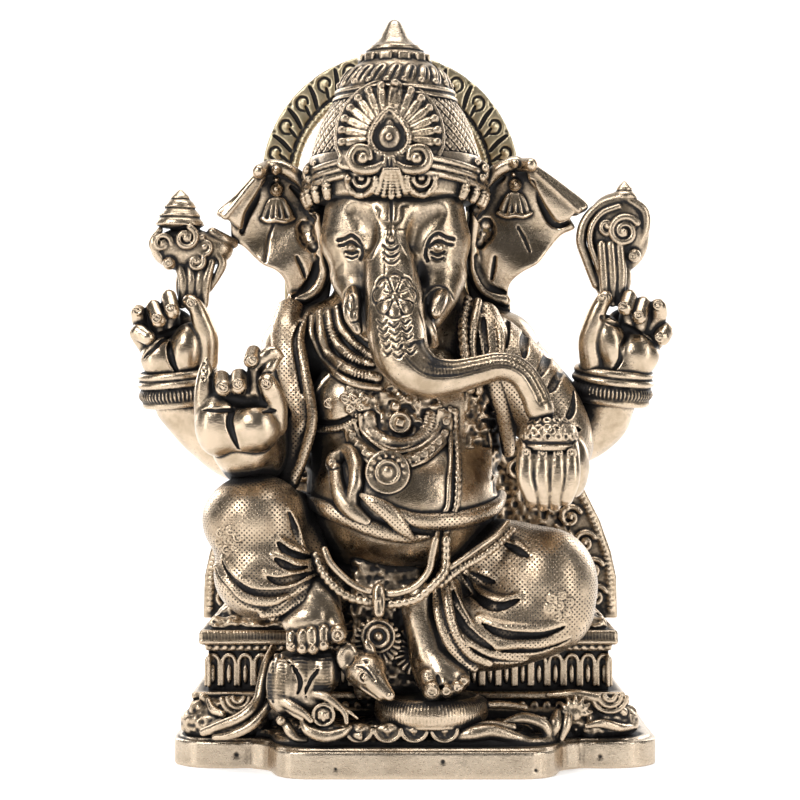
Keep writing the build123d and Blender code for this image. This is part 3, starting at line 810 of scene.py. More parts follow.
def make_mouse_body():
    body = Clay((-44, -47, 11), (-12, -18, 40))
    body.add(block((-28.5, -31, 25.5), (8.2, 8.5, 8.2), 4.0, (0, 0, 1)), 0)
    body.add(ball((-32.5, -33.5, 25), (5.6, 7.0, 8.6)), 2.0)
    body.add(ball((-27.5, -33.5, 28.5), (5.0, 6.5, 7.5)), 2.0)
    body.add(ball((-21.5, -34, 29), (4.6, 6.8, 6.6)), 1.5)
    # coat hatched in short level strokes on the haunch, the back and the shoulder
    for k in range(15):
        z = 20.6 + 0.95 * k
        body.line(body.on([(-37.6, z), (-35.8, z + 0.3), (-34.0, z + 0.4), (-32.6, z + 0.2)]), 0.34, 0.6)
        if k > 6:
            body.line(body.on([(-30.0, z), (-28.2, z + 0.2), (-26.2, z)]), 0.34, 0.55)
        if k > 3:
            body.line(body.on([(-24.0, z), (-21.8, z - 0.2), (-19.6, z)]), 0.34, 0.6)
    # two deep creases behind the shoulder, and the folded hind leg
    for crease, deep in (
        ([(-31.5, 32, 0.4), (-29.5, 30, 0.6), (-28, 26.5, 0.7), (-29, 23, 0.4)], 1.1),
        ([(-23, 32, 0.3), (-23, 30, 0.5), (-25, 27.5, 0.6), (-26.5, 24, 0.5), (-26.5, 22, 0.3)], 1.0),
    ):
        trench(body, crease, deep, 0.2)
    body.tube([
        (-34, -38, 22, 1.7), (-30.5, -40.5, 20, 1.4), (-27, -41.5, 18, 1.1), (-25, -42, 16, 0.8),
    ], 0.4)
    body.line([(-33, -42, 22), (-29.5, -43, 20.5), (-25.5, -43, 18.5)], 0.4, 0.6)
    body.tube([(-32.5, -37.5, 19.5, 1.1), (-30, -40, 18, 1), (-27.5, -41, 16.5, 0.8)], 0.3)
    # foreleg reaching down, and the round sweet it holds
    body.tube([
        (-24.5, -38, 23, 1.8), (-21, -40, 22.5, 1.4), (-18, -41, 20.5, 1.1), (-15.5, -41.5, 18, 0.9),
        (-15, -42, 15.5, 0.7),
    ], 0.4)
    body.tube([(-18, -41, 20.5, 0.8), (-14.5, -41, 18.5, 0.6), (-12, -41, 16.5, 0.4)], 0.3)
    sweet = np.array((-21.5, -40, 17.5))
    body.add(ball(sweet, 2.4), 0.2)
    body.add(ring(sweet + (0, -1.2, 0), 2.9, 0.55), 0.2)
    body.add(ball(sweet + (0, -2.4, 0), 0.45), 0.1)
    for i in range(6):
        a = 2 * math.pi * (i + 0.5) / 6
        body.add(ball(sweet + (1.4 * math.cos(a), -1.91, 1.4 * math.sin(a)), 0.45), 0.1)
    # leaves on the mound in front
    body.tube([
        (-27.5, -40, 15.5, 0.9), (-25.5, -41.5, 13, 1.6), (-21, -42, 11.5, 1.9), (-16.5, -42, 12.5, 1.5),
        (-14, -41, 14, 0.8),
    ], 0.4)
    body.add(ball((-33.5, -38, 15.5), 1.5), 0.2)
    body.tube([
        (-32.5, -37, 15, 1.2), (-31, -38, 12.5, 1.6), (-29, -39, 10.5, 1.2), (-26.5, -39, 10, 0.8),
    ], 0.3)
    body.tube([(-14, -40, 12, 1), (-11, -41, 11.5, 1.6), (-7, -41, 11.5, 1)], 0.3)
    made("mouse_body_crouched", body, "chased", "mouse_body")


def make_mouse_head():
    head = Clay((-22, -48, 18), (0, -28, 40))
    head.tube([
        (-13.5, -34, 31.5, 4), (-11, -37, 30, 4.8), (-8.5, -40, 28.5, 4.2), (-5.5, -42.5, 25.5, 2.8),
        (-3, -44.5, 23.5, 1.7),
    ], 0)
    head.add(ball((-9, -38, 30), (5.2, 4.6, 4.6)), 1.0)
    head.tube([(-13, -38, 28, 2.2), (-9.5, -40.5, 25.5, 2), (-5.5, -43.5, 23, 1.3)], 0.8)
    head.add(ball((-15, -38, 33.5), (3.1, 1.4, 4.0), along=(0.15, 0, 1)), 0.3)
    head.cut(ball((-14.5, -40, 33.5), (1.7, 1.2, 2.6), along=(0.15, 0, 1)), 0.3)
    head.add(ball((-8.5, -37, 35.5), (1.5, 1.3, 3.2), along=(0.45, 0, -1)), 0.3)
    eye = np.array(head.on([(-10, 28.5)], 0.1)[0])
    head.add(ring(eye, 1.55, 0.38), 0.12)
    head.add(ball(eye, 0.85), 0.1)
    trench(head, [(-12, 31, 0.25), (-10.5, 31, 0.4), (-8.5, 29.5, 0.4), (-7, 27.5, 0.25)], 0.5, 0.2)
    head.spots(head.on([(-9.5, 32.5), (-6, 30)]), 0.55, 0.6)
    head.line(head.on([(-10.5, 25.5), (-7.5, 23.5), (-5, 22)]), 0.3, 0.4)
    head.spots(head.on([(-3.5, 24)]), 0.45, 0.5)
    made("mouse_head_looking_down", head, "polished", "mouse_head")


# ---- head ---------------------------------------------------------------------------------------
TRUNK_PATH = (
    (-3, -17, 162.5, 9.6), (-3, -20, 158, 7.8), (-3, -23, 152.5, 6.5), (-3, -25.5, 146, 6.7),
    (-2, -28, 138.5, 7.7), (-1.5, -31, 132, 8.4), (-1, -34, 126, 8.3), (0, -37, 120, 7.9),
    (3, -39, 115.5, 7.2), (8, -39.5, 112.5, 6.2), (15, -39, 112.5, 5), (21.5, -38.5, 114, 4.4),
    (28.5, -38.5, 115.5, 4), (34, -38, 113.5, 3.9), (37.5, -37.5, 108.5, 4), (39.5, -37, 103.5, 4.2),
)
FACE_MID = -0.75


def make_eye(clay, x, z, side, size):
    """An almond eye under two carved lid lines that sweep outwards."""
    clay.spots(clay.on([(x, z)]), 2.6, 0.7)
    for deep, r, line in (
        (0.7, 0.42, ((-2.9, 0.2), (-1, 1.9), (1, 2.2), (2.9, 1.1), (4.8, 1.0))),
        (0.8, 0.52, ((-3.6, 0.6), (-2.4, 3.0), (0, 4.6), (2.6, 3.4), (5.2, 2.9))),
        (0.7, 0.36, ((-2.4, -1.4), (-0.3, -2.3), (2.2, -1.3))),
        (0.6, 0.34, ((-2.2, -3.1), (-0.1, -3.9), (1.8, -3.2))),
        (0.8, 0.50, ((-3.8, -0.4), (-4.1, -2.4), (-3.4, -4.2))),
    ):
        trench(clay, [(x + side * size * u, z + size * v, r) for u, v in line], deep, 0.25)
    centre = clay.on([(x, z)], 0.2)[0]
    clay.add(ball(centre, (1.6 * size, 0.9, 1.2 * size)), 0.15)
    x, y, z = centre
    iris = [(x + math.cos(a), y - 0.7, z + 0.8 * math.sin(a)) for a in np.linspace(0, 6.28, 9)]
    clay.line(iris, 0.25, 0.3)
    clay.spots([(x, y - 0.9, z)], 0.35, 0.3)


def shape_head(clay):
    """Skull, cheeks, brows, trunk, eyes and lips."""
    clay.add(block((FACE_MID, -8, 155.5), (19.5, 17, 14.5), 9.5, (0, 0, 1)), 0)
    clay.add(ball((FACE_MID, -3, 158), (19.5, 18, 20)), 3)
    clay.tube([(-12.5, -15, 142.5, 8), (-11, -20, 135.5, 5.6), (-8.5, -24, 127.5, 3.8)], 4)
    clay.tube([(11.5, -15, 142.5, 8), (10.5, -20, 136, 6), (8, -25, 130, 4.4)], 4)
    clay.tube([(-14, -13, 161.5, 8), (-15.5, -14, 153, 8)], 3)
    clay.tube([(9, -13, 161.5, 8), (12.5, -14, 153, 8)], 3)
    # brow ridges spread from the root of the trunk to both temples
    clay.tube([(-3, -20, 157, 7.6), (-10, -17, 163.5, 6.5), (-14.5, -14, 165, 5)], 3)
    clay.tube([(-3, -20, 157, 7.6), (5, -17, 163.5, 6.5), (10, -14, 165, 5)], 3)
    clay.tube(TRUNK_PATH, 3.6)
    trench(clay, [(-13.5, 160, 1.4), (-11.5, 158, 2.7), (-9.5, 155, 2.2), (-9, 150.5, 1.0)], 0.8, 2.6)
    trench(clay, [(11, 160, 1.4), (8, 158, 2.7), (5.5, 155, 2.2), (4, 150.5, 1.0)], 0.8, 2.6)
    make_eye(clay, -14, 150, -1, 0.78)
    make_eye(clay, 11, 150, 1, 0.9)
    # lip and tusk sockets
    for x, z, r in ((-13.5, 135, 3.0), (11, 134, 3.2), (11, 134, 4.6)):
        arc = [(x + r * math.cos(a), z + r * 1.1 * math.sin(a)) for a in np.linspace(0.3, math.pi, 8)]
        clay.line(clay.on(arc), 0.36, 0.5)
    clay.tube([(7, -30, 128.5, 2.4), (8.5, -30, 125, 2.2), (9.5, -28, 122.5, 1.8)], 1.2)
    clay.line([(5.5, -33, 129.5), (7.5, -33, 125.5), (8, -31, 122.5)], 0.5, 0.8)


def band_trunk(clay):
    """Two finely ringed bands run along the trunk from its bend, and a nostril ends it."""
    path = spline(TRUNK_PATH, 0.5)
    bend = next(i for i, p in enumerate(path) if p[2] < 121.5)
    forward = np.array([0, -1, 0])
    rows = []
    for i in range(bend, len(path) - 3):
        along = unit(path[i + 2][:3] - path[i - 2][:3])
        rows.append((path[i][:3], path[i][3], unit(np.cross(along, (0, 1, 0)))))

    def skin(row, angle):
        """The point on the trunk's skin at an angle from its front."""
        centre, radius, across = row
        return centre + radius * (math.sin(angle) * across + math.cos(angle) * forward)

    for edge in (0.08, 0.62, 1.16):
        clay.line([skin(row, edge) for row in rows[:-2:3]], 0.4, 0.75)
    for low, high in ((0.14, 0.56), (0.68, 1.1)):
        for row in rows[::2]:
            clay.line([skin(row, a) for a in (low, (low + high) / 2, high)], 0.34, 0.55, straight=True)
    x, y, z, _ = TRUNK_PATH[-1]
    clay.cut(ball((x + 0.6, y - 1.0, z - 3.6), (1.8, 1.8, 1.6)), 0.5)


def draw_tilak(clay):
    """The brow mark: an upright line between two hooks, a drop, and three crescents."""
    clay.line(clay.on([(-2.5, 163.5), (-2.5, 153.5)]), 0.45, 0.75, straight=True)
    clay.line(clay.on([(-7, 161.5), (-6, 160.5), (-6.5, 159), (-5.5, 157), (-3.5, 156.5)]), 0.36, 0.5)
    clay.line(clay.on([(2, 162), (0.5, 161.5), (0.5, 159.5), (0, 157.5), (-1.5, 156.5)]), 0.36, 0.5)
    x, y, z = clay.on([(-2.5, 152)], 0.1)[0]
    clay.add(ball((x, y, z), (1.0, 0.6, 1.1)), 0.1)
    rim = [(x + 1.2 * math.cos(a), y, z + 1.3 * math.sin(a)) for a in np.linspace(0, 6.28, 9)]
    clay.line(rim, 0.3, 0.5)
    crescent = ((-2.2, 0.8, 0.22), (-1.3, -0.2, 0.42), (0, -0.6, 0.5), (1.3, -0.2, 0.42), (2.2, 0.8, 0.22))
    for x, z in ((-2.5, 149.5), (-2.5, 147.5), (-2.5, 145.5)):
        trench(clay, [(x + u, z + v, r) for u, v, r in crescent], 0.5, 0.15)


def draw_rosette(clay):
    """A rosette of eight petals on the trunk, with three columns of scales below it."""
    cx, cz = -1.5, 135.5

    def at(r, angle):
        return cx + r * math.cos(angle), cz + r * math.sin(angle)

    petal = math.pi / 4
    for i in range(8):
        a = petal * i
        edge = ((-0.5, 5.7), (-0.35, 6.2), (0, 6.5), (0.35, 6.2), (0.5, 5.7))
        clay.line(clay.on([at(r, a + t * petal) for t, r in edge]), 0.38, 0.65)
        spoke = ((1.6, 0.25), (3.4, 0.36), (5.2, 0.34))
        trench(clay, [(*at(r, a + petal / 2), w) for r, w in spoke], 0.55, 0.15)
        clay.spots(clay.on([at(4.2, a)]), 1.6, -0.2)
    clay.line(clay.on([at(1.3, a) for a in np.linspace(0, 2 * math.pi, 13)]), 0.34, 0.6)
    for row in range(5):
        for column in (-1, 0, 1):
            x = cx - 0.3 + column * 3.3 + row * 0.35
            z = cz - 7.6 - row * 2.15 - (0 if column else 0.9)
            trench(clay, [(x - 1.4, z + 0.7, 0.25), (x, z - 0.5, 0.5), (x + 1.4, z + 0.7, 0.25)], 0.45, 0.2)


def make_head():
    clay = Clay((-27, -49, 94), (50, 16, 182))
    shape_head(clay)
    band_trunk(clay)
    draw_tilak(clay)
    draw_rosette(clay)
    made("head_and_trunk", clay, "polished", "head", "trunk")


def make_tusks():
    right = Clay((-24, -46, 118), (-6, -20, 142))
    right.tube([
        (-13.5, -26, 137, 2), (-13.5, -30, 134, 2.6), (-13.5, -32, 130, 2.5), (-12, -33, 126, 1.5),
    ], 0)
    for path in (
        [(-14.5, 137.5), (-13, 134), (-13.5, 129.5), (-12, 125.5)],
        [(-15.5, 133), (-14, 131.5), (-12, 132)],
        [(-15, 129.5), (-14, 128), (-11.5, 128.5)],
    ):
        right.line(right.on(path), 0.34, 0.55)
    made("right_tusk_broken", right, "polished", "right_tusk")
    left = Clay((2, -46, 120), (20, -20, 144))
    left.tube([(12, -24, 136.5, 2.2), (11, -28, 134, 2.5), (10, -31, 131, 2)], 0)
    left.line(left.on([(12.5, 135.5), (11.5, 133.5), (10.5, 131)]), 0.34, 0.5)
    made("left_tusk_whole", left, "polished", "left_tusk")


def make_ear(name, node, side, outline, panel, roll, root, hollow, cuts, bosses):
    """A broad ear with a turned-over outer panel, a rolled rim and a dark hollow at its root."""
    xs = [p[0] for p in outline]
    clay = Clay((min(xs) - 4, -18, 112), (max(xs) + 4, 18, 186))

    def middle(x, z):
        out = side * x
        return 4.0 - 0.10 * (out - 20) + 1.1 * np.sin((z - 150) * 0.22 + out * 0.16)

    clay.add(sheet(loop(outline, 1.2), middle, 1.5, 1.2), 0)
    clay.add(sheet(loop(panel, 1.2), lambda x, z: middle(x, z) - 3.0, 1.5, 1.2), 0.6)
    # a soft ridge runs down the turned-over panel
    ridge = [((2 * a[0] + b[0]) / 3, (2 * a[1] + b[1]) / 3) for a, b in zip(panel[:4], panel[:3:-1])]
    clay.lay(clay, ridge, 1.0, -0.3, 0.8)
    clay.tube([(x, y - 1.2, z, 2.1) for x, y, z in clay.on(roll)], 0.5)
    clay.tube([(x, y - 0.6, z, 1.9) for x, y, z in clay.on(root)], 0.5)
    trench(clay, hollow, 1.4, 0.6)
    for x, z, r in hollow:
        ground = [(x + 0.55 * r * math.cos(a), z + 0.55 * r * math.sin(a)) for a in np.linspace(0, 5.2, 6)]
        clay.spots(clay.on([(x, z), *ground]), 0.7, 0.8)
    for cut in cuts:
        trench(clay, cut, 0.9 * max(r for *_, r in cut), 0.4)
    for x, z, r in bosses:
        spot = np.array(clay.on([(x, z)], 1.0)[0])
        clay.add(ball(spot, r), 0.2)
        clay.add(ball(spot - (0, r * 0.9, 0), 0.42 * r), 0.1)
    made(name, clay, "polished", node)
    return clay


def make_tassel(name, node, ear, x, z):
    """A bell-shaped tassel hung on the front of an ear."""
    bell = Clay((x - 9, -16, z - 8), (x + 9, 4, z + 8))
    y = ear.on([(x, z)], 0.6)[0][1]
    shape = ((-2.4, 3.4), (2.4, 3.4), (5.4, -2.2), (2.6, -3.6), (0, -3.2), (-2.6, -3.6), (-5.4, -2.2))
    outline = loop([(x + u, z + v) for u, v in shape], 0.8)
    bell.add(sheet(outline, lambda u, w: y + 0.06 * (u - x) ** 2, 1.6, 1.0), 0)
    for u in (-3.0, -1.0, 1.0, 3.0):
        pleat = [(x + u * 0.45, z + 3.0), (x + u * 0.8, z), (x + u * 1.1, z - 3.4)]
        bell.line(bell.on(pleat), 0.45, 0.8)
    hem = ((-5.0, -2.3), (-2.4, -3.4), (0, -3.0), (2.4, -3.4), (5.0, -2.3))
    bell.lay(bell, [(x + u, z + v) for u, v in hem], 0.7, 0.0, 0.25)
    made(name, bell, "polished", node)


def make_right_ear():
    outline = [
        (-23.5, 172), (-30, 174.5), (-33, 176.5), (-37, 177.5), (-41, 176), (-44, 173.5), (-49, 168),
        (-54.5, 162.5), (-54.5, 161), (-51, 159.5), (-50.5, 154.5), (-47, 152), (-44, 149), (-41, 146.5),
        (-37.5, 145), (-35, 142.5), (-34, 139), (-33.5, 136), (-33, 132), (-24.5, 132.5), (-21, 139),
        (-20.5, 157.5),
    ]
    panel = [
        (-42.5, 174.5), (-46, 171), (-50, 166.5), (-54.5, 162.5), (-54, 161), (-51, 159.5), (-47.5, 157),
        (-46, 162), (-43, 167), (-40, 172.5),
    ]
    roll = [(-42, 174), (-40, 175.5), (-37, 176), (-33, 174.5), (-29, 171.5), (-26.5, 167), (-25.5, 162.5)]
    root = [(-25, 161), (-24, 155.5), (-24, 149), (-23, 144.5), (-25, 139.5), (-28.5, 137), (-32, 136.5)]
    hollow = [(-26.5, 160.5, 1.6), (-28.5, 158, 2.6), (-28, 154.5, 2.8), (-26, 152, 1.6)]
    cuts = [
        [(-40.5, 171, 0.8), (-43.5, 166, 1.3), (-46, 161, 1.3), (-47.5, 156.5, 0.7)],
        [(-25, 148.5, 0.9), (-25.5, 144.5, 1.4), (-28, 140, 1.4), (-32, 137, 0.7)],
        [(-31, 149, 0.4), (-29.5, 146, 0.7), (-28.5, 143, 0.4)],
        [(-38, 159, 0.3), (-39.5, 155, 0.5), (-40, 151, 0.3), (-40.5, 147.5, 0.3)],
        [(-32.5, 170, 0.6), (-29, 166.5, 1.0), (-26.5, 162.5, 0.6)],
    ]
    bosses = [(-37, 174.5, 1.5), (-37, 169, 2.1), (-37, 172, 0.9)]
    ear = make_ear("right_ear_leaf", "right_ear", -1, outline, panel, roll, root, hollow, cuts, bosses)
    make_tassel("right_ear_tassel", "right_ear_pendant", ear, -37, 163)


def make_left_ear():
    outline = [
        (22, 173), (25.5, 175), (29, 177), (34, 178.5), (39, 177.5), (44, 174.5), (50, 169.5), (56, 165),
        (55.5, 162.5), (51, 161), (52.5, 157.5), (48.5, 155.5), (45, 151.5), (41.5, 147), (37, 144.5),
        (33.5, 141.5), (32.5, 138), (33, 132.5), (25, 132.5), (20.5, 139), (20, 157.5),
    ]
    panel = [
        (39, 177), (44, 174), (50, 169.5), (56, 164.5), (55, 162.5), (51, 160), (47, 159), (43.5, 163.5),
        (41, 168), (38, 173),
    ]
    roll = [(39, 176), (36, 176.5), (34, 177), (29.5, 175), (26, 171.5), (24, 167), (22.5, 162.5)]
    root = [(22.5, 161), (22, 155), (22, 149), (22.5, 144.5), (24.5, 140), (28, 137), (31.5, 136)]
    hollow = [(23.5, 162, 1.6), (26, 159, 2.4), (26, 156, 2.6), (24, 153, 1.6)]
    cuts = [
        [(39.5, 171, 0.8), (42.5, 165, 1.3), (45.5, 159.5, 1.4), (49, 159, 1.3), (52.5, 161, 0.8)],
        [(23, 149, 0.9), (24, 145, 1.4), (27, 140, 1.4), (31.5, 138, 0.7)],
        [(35.5, 158, 0.3), (37.5, 154.5, 0.6), (39, 150.5, 0.3)],
        [(28.5, 149, 0.4), (28, 146, 0.7), (27.5, 142.5, 0.4)],
        [(31, 173, 0.6), (27, 169, 1.0), (24, 164, 0.6)],
    ]
    bosses = [(34, 176.5, 1.5), (34.5, 170.5, 2.0), (34, 173.5, 0.9)]
    ear = make_ear("left_ear_leaf", "left_ear", 1, outline, panel, roll, root, hollow, cuts, bosses)
    make_tassel("left_ear_tassel", "left_ear_pendant", ear, 34.5, 164.5)


# ---- crown and halo -----------------------------------------------------------------------------
CROWN_AXIS = (-1.5, -4.0)
PLUME_X, PLUME_Z = -3, 182  # the middle of the jewel on the plume
JEWEL = (
    (0, -6.1), (3.6, -5.2), (5.6, -2.0), (5.0, 1.4), (2.9, 4.6), (0, 7.4), (-2.9, 4.6), (-5.0, 1.4),
    (-5.6, -2.0), (-3.6, -5.2),
)


def outward(a):
    """The level direction at angle a round the crown's axis; the angle runs from the front."""
    return np.array([math.sin(a), -math.cos(a), 0])


def around(r, a, z):
    """The point at radius r and angle a round the crown's axis."""
    return np.array([*CROWN_AXIS, z]) + r * outward(a)


def make_headband():
    cx, cy = CROWN_AXIS
    band = Clay((-35, -40, 156), (32, 28, 182))
    band.add(turned((cx, cy, 170), [(-5.5, 23.5), (-4, 25.2), (0, 26.2), (5, 26.2), (8, 25.4)]), 0)
    # three plain cords, which rise over the brow
    for height in (172.4, 170.3, 168.2):
        rise = [(a, 3.4 * max(0.0, math.cos(a)) ** 2) for a in np.linspace(0, 2 * math.pi, 49)]
        band.tube([(*around(26.9, a, height + up), 1.0) for a, up in rise], 0.2)
    # two ribbed loops over the brow with a fan of ribbed tongues between them
    for x, z in ((-11, 169), (6, 169)):
        arc = np.radians(np.linspace(170, 370, 12))
        outer = band.on([(x + 4.1 * math.cos(a), z + 4.1 * math.sin(a)) for a in arc], 1.0)
        band.tube([(*p, 1.15) for p in outer], 0.2, ribs=(0.95, 0.45))
        arc = np.radians(np.linspace(175, 365, 9))
        inner = band.on([(x + 2.2 * math.cos(a), z + 0.4 + 2.2 * math.sin(a)) for a in arc], 0.9)
        band.tube([(*p, 0.65) for p in inner], 0.2)
        band.add(ball(band.on([(x, z + 0.6)], 0.6)[0], (1.2, 1.0, 1.0)), 0.2)
    for spread in (-2, -1, 0, 1, 2):
        top = np.array((-2.5 + spread, 171.5))
        foot = np.array((-2.5 + 2.05 * spread, 164.1 + 0.7 * abs(spread)))
        tongue = band.on([top, (top + foot) / 2, foot], 0.8)
        band.tube(sized(tongue, (0.8, 1.05, 1.25)), 0.2, ribs=(0.95, 0.4))
    # leafy tongues carry on round the sides and back
    count = 30
    for i in range(count):
        a = 2 * math.pi * i / count
        if math.cos(a) > 0.80:
            continue
        z = 169.2 + 2.6 * max(0.0, math.cos(a)) ** 2
        tongue = [around(26.6, a, z), around(26.9, a + 0.02, z - 2.6), around(26.2, a, z - 5.2)]
        band.tube(sized(tongue, (1.2, 1.8, 1.3)), 0.2, ribs=(1.1, 0.45))
    # a rosette at each temple
    for side, spot in ((-1, (-25, -15, 172.5)), (1, (22.5, -15, 173))):
        rose = np.array(spot)
        band.add(disc(rose, 3.6, 1.6, 0.8, (side * 0.4, -1, 0)), 0.3)
        for i in range(5):
            a = math.pi * (0.5 + 0.4 * i)
            u, v = math.cos(a), math.sin(a)
            band.add(ball(rose + (2.4 * u, -1.5 - side * 0.5 * u, 2.4 * v), 1.25), 0.15)
        band.add(ball(rose + (0, -2.0, 0), 1.1), 0.1)
    made("crown_headband", band, "chased", "crown_band")


def make_dome():
    cx, cy = CROWN_AXIS
    dome = Clay((-30, -34, 166), (27, 26, 200))
    profile = [(-14, 24.5), (-8, 25.4), (-2, 24.8), (4, 23.0), (9, 20.8), (13, 18.0), (16, 16.0)]
    dome.add(turned((cx, cy, 182), profile), 0)

    def weave(x, y, z):
        """Slanting braids, deep between the strips and finely hatched along them."""
        turn = np.arctan2(x - cx, -(y - cy))
        across = np.abs(turn) * 23.0
        slant = (across + z) * 0.7071
        along = (across - z) * 0.7071
        deep = np.maximum(np.cos(2 * math.pi * slant / 2.7), 0) ** 6
        fine = np.maximum(np.cos(2 * math.pi * along / 1.35), 0) ** 3
        return 0.85 * deep + 0.35 * fine * (1 - deep)

    dome.engrave(weave)
    made("crown_dome_woven", dome, "chased", "crown_dome")


def plume_depth(x, z):
    """How far back the fan's middle lies: it leans back with height and curves back to both sides."""
    up = np.maximum(z - 176, 0)
    return -30.6 + 0.30 * up + 0.010 * up**2 + 0.022 * (x - PLUME_X) ** 2


def on_plume(r, angle):
    return PLUME_X + r * math.cos(angle), PLUME_Z + r * math.sin(angle)


def make_fan(plume):
    """The fan itself, a rim round it and its rays, with deep gaps between them."""
    fan = [on_plume(15.4 + 1.6 * math.sin(a) ** 3, a) for a in np.radians(range(-24, 205, 12))]
    fan += [(PLUME_X + u, PLUME_Z + v) for u, v in ((-13.5, -9.0), (0, -10.0), (13.5, -9.0))]
    edge = loop(fan, 1.0)
    plume.add(sheet(edge, plume_depth, 1.3, 1.0), 0)
    plume.tube([(x, plume_depth(x, z) - 1.0, z, 0.7) for x, z in edge[:, :2]], 0.3)
    first, sweep, last = -14, 208, 14
    for i in range(last + 1):
        degrees = first + sweep * i / last
        a = math.radians(degrees)
        far = 13.8 + 1.6 * max(math.sin(a), 0) ** 3
        bow = 0.10 if degrees < 90 else -0.10
        swell = ((0, 1.0), (0.35, 1.3), (0.7, 1.6), (1, 1.3))
        ray = [(*on_plume(6.4 + (far - 6.4) * t, a + bow * t), r) for t, r in swell]
        plume.tube([(x, y - 0.5, z, r) for x, y, z, r in plume.on(ray)], 0.2)
        tip = plume.on([ray[-1][:2]], 0.4)[0]
        plume.add(ball(tip, (1.2, 1.0, 1.2)), 0.5)
        plume.line([(x, y - 0.1, z) for x, y, z in plume.on([p[:2] for p in ray[1:]])], 0.35, 0.6)
    for i in range(last):
        a = math.radians(first + sweep * (i + 0.5) / last)
        far = 12.8 + 1.4 * max(math.sin(a), 0) ** 3
        gap = [(*on_plume(d, a), r) for d, r in ((6.6, 0.5), (9, 0.7), (far, 0.5))]
        plume.tube([(x, plume_depth(x, z) - 1.0, z, r) for x, z, r in gap], 0.2, cut=True)


def make_jewel(plume, face):
    """A teardrop on the fan: a ribbed cord round a channel, and a boss."""
    cx, cz = PLUME_X, PLUME_Z

    def lean(z):
        return 0.25 * np.maximum(z - cz, 0)

    rim = loop([(cx + u, cz + v) for u, v in JEWEL], 0.8)
    plume.add(sheet(rim, lambda x, z: face + 0.3 + lean(z), 1.6, 0.8), 0.2)
    cord = [(x, face - 1.2 + lean(z), z, 1.05) for x, z in rim[::3]]
    plume.tube([*cord, cord[0]], 0.2, ribs=(0.9, 0.4))
    inner = loop([(cx + u * 0.66, cz - 0.2 + v * 0.66) for u, v in JEWEL], 0.8)
    channel = [(x, face - 1.5 + lean(z), z) for x, z in inner[::2]]
    plume.line([*channel, channel[0]], 0.5, 1.1)
    plume.add(ball((cx, face - 1.0, cz - 1.0), (3.2, 1.4, 3.6)), 0.2)
    plume.add(ball((cx - 0.2, face - 2.4, cz - 1.0), 1.2), 0.1)
    plume.spots([(cx - 0.2, face - 3.5, cz - 1.0)], 0.4, 0.4)


def make_volutes(plume, face):
    """A volute on either side of the clasp under the jewel."""
    cx, cz = PLUME_X, PLUME_Z
    arm = (
        (1.6, -1.6, -8.6, 1.2), (5.0, -1.6, -10.2, 1.5), (9.4, -1.4, -9.8, 1.5), (11.2, -1.4, -7.0, 1.4),
        (9.6, -1.5, -4.2, 1.3), (6.4, -1.6, -4.4, 1.2), (5.6, -1.8, -6.8, 1.1),
    )
    for side in (-1, 1):
        plume.tube([(cx + side * x, face + y, cz + z, r) for x, y, z, r in arm], 0.2)
        plume.add(ball((cx + side * 7.7, face - 1.6, cz - 7.0), 1.9), 0.2)
    plume.add(block((cx, face - 1.6, cz - 8.6), (1.9, 1.4, 2.3), 0.9), 0.2)
    for u in (-0.7, 0.7):
        groove = [(cx + u, face - 3.0, cz - 6.8), (cx + u * 0.6, face - 3.0, cz - 10.4)]
        plume.line(groove, 0.35, 0.6, straight=True)


def make_plume():
    plume = Clay((-24, -40, 164), (18, -14, 206))
    face = plume_depth(PLUME_X, PLUME_Z) - 1.4
    make_fan(plume)
    make_jewel(plume, face)
    make_volutes(plume, face)
    made("crown_plume_fan", plume, "chased", "crown_plume")


def make_cap():
    """The tier of leaves above the dome."""
    cx, cy = CROWN_AXIS
    cap = Clay((-23, -26, 193), (20, 18, 210))
    profile = [(-5.5, 17.4), (-4.6, 18.0), (-2.0, 17.2), (1.5, 15.2), (4.8, 12.4), (6.4, 10.6)]
    cap.add(turned((cx, cy, 200), profile), 0)
    for z, r in ((195.0, 18.0), (197.2, 17.4)):
        cap.tube([(*around(r, a, z), 0.75) for a in np.linspace(0, 2 * math.pi, 41)], 0.2)
    leaves = 20
    between = 0.157  # half the angle from one leaf to the next
    for i in range(leaves):
        a = 2 * math.pi * i / leaves
        root, tip = around(16.8, a - 0.10, 198.2), around(13.0, a + 0.10, 204.4)
        cap.add(ball((root + tip) / 2, (2.0, 1.4, 3.9), along=tip - root, front=outward(a)), 0.2)
        cap.line([root + 1.2 * outward(a), tip + 1.1 * outward(a)], 0.42, 0.7)
        cap.add(ball(around(16.6, a + between, 199.2), 1.1), 0.15)
    made("crown_leaf_tier", cap, "chased", "crown_cap")


def make_collar():
    """A ring of square studs under the finial."""
    cx, cy = CROWN_AXIS
    collar = Clay((-14, -17, 202), (12, 9, 212))
    collar.add(turned((cx, cy, 206.6), [(-2.6, 9.6), (-1.8, 10.2), (1.8, 10.0), (2.6, 9.0)]), 0)
    studs = 12
    for i in range(studs):
        a = 2 * math.pi * (i + 0.5) / studs
        collar.add(block(around(9.6, a, 206.6), (1.95, 1.5, 2.0), 0.7, (0, 0, 1), outward(a)), 0.15)
    collar.add(ring((cx, cy, 210.0), 7.4, 1.25, (0, 0, 1)), 0.2)
    made("crown_collar", collar, "chased", "crown_ring")


def make_finial():
    cx, cy = CROWN_AXIS
    tip = Clay((-12, -14, 208), (10, 7, 222))
    cone = [
        (-1.0, 7.0), (-0.4, 7.7), (0.0, 7.6), (0.6, 6.6), (1.2, 5.9), (2.3, 5.0), (4.3, 3.9), (7.1, 2.3),
        (8.1, 1.4), (8.6, 0.2),
    ]
    tip.add(turned((cx - 0.2, cy, 210.9), cone), 0)
    made("crown_finial_cone", tip, "base", "crown_finial")


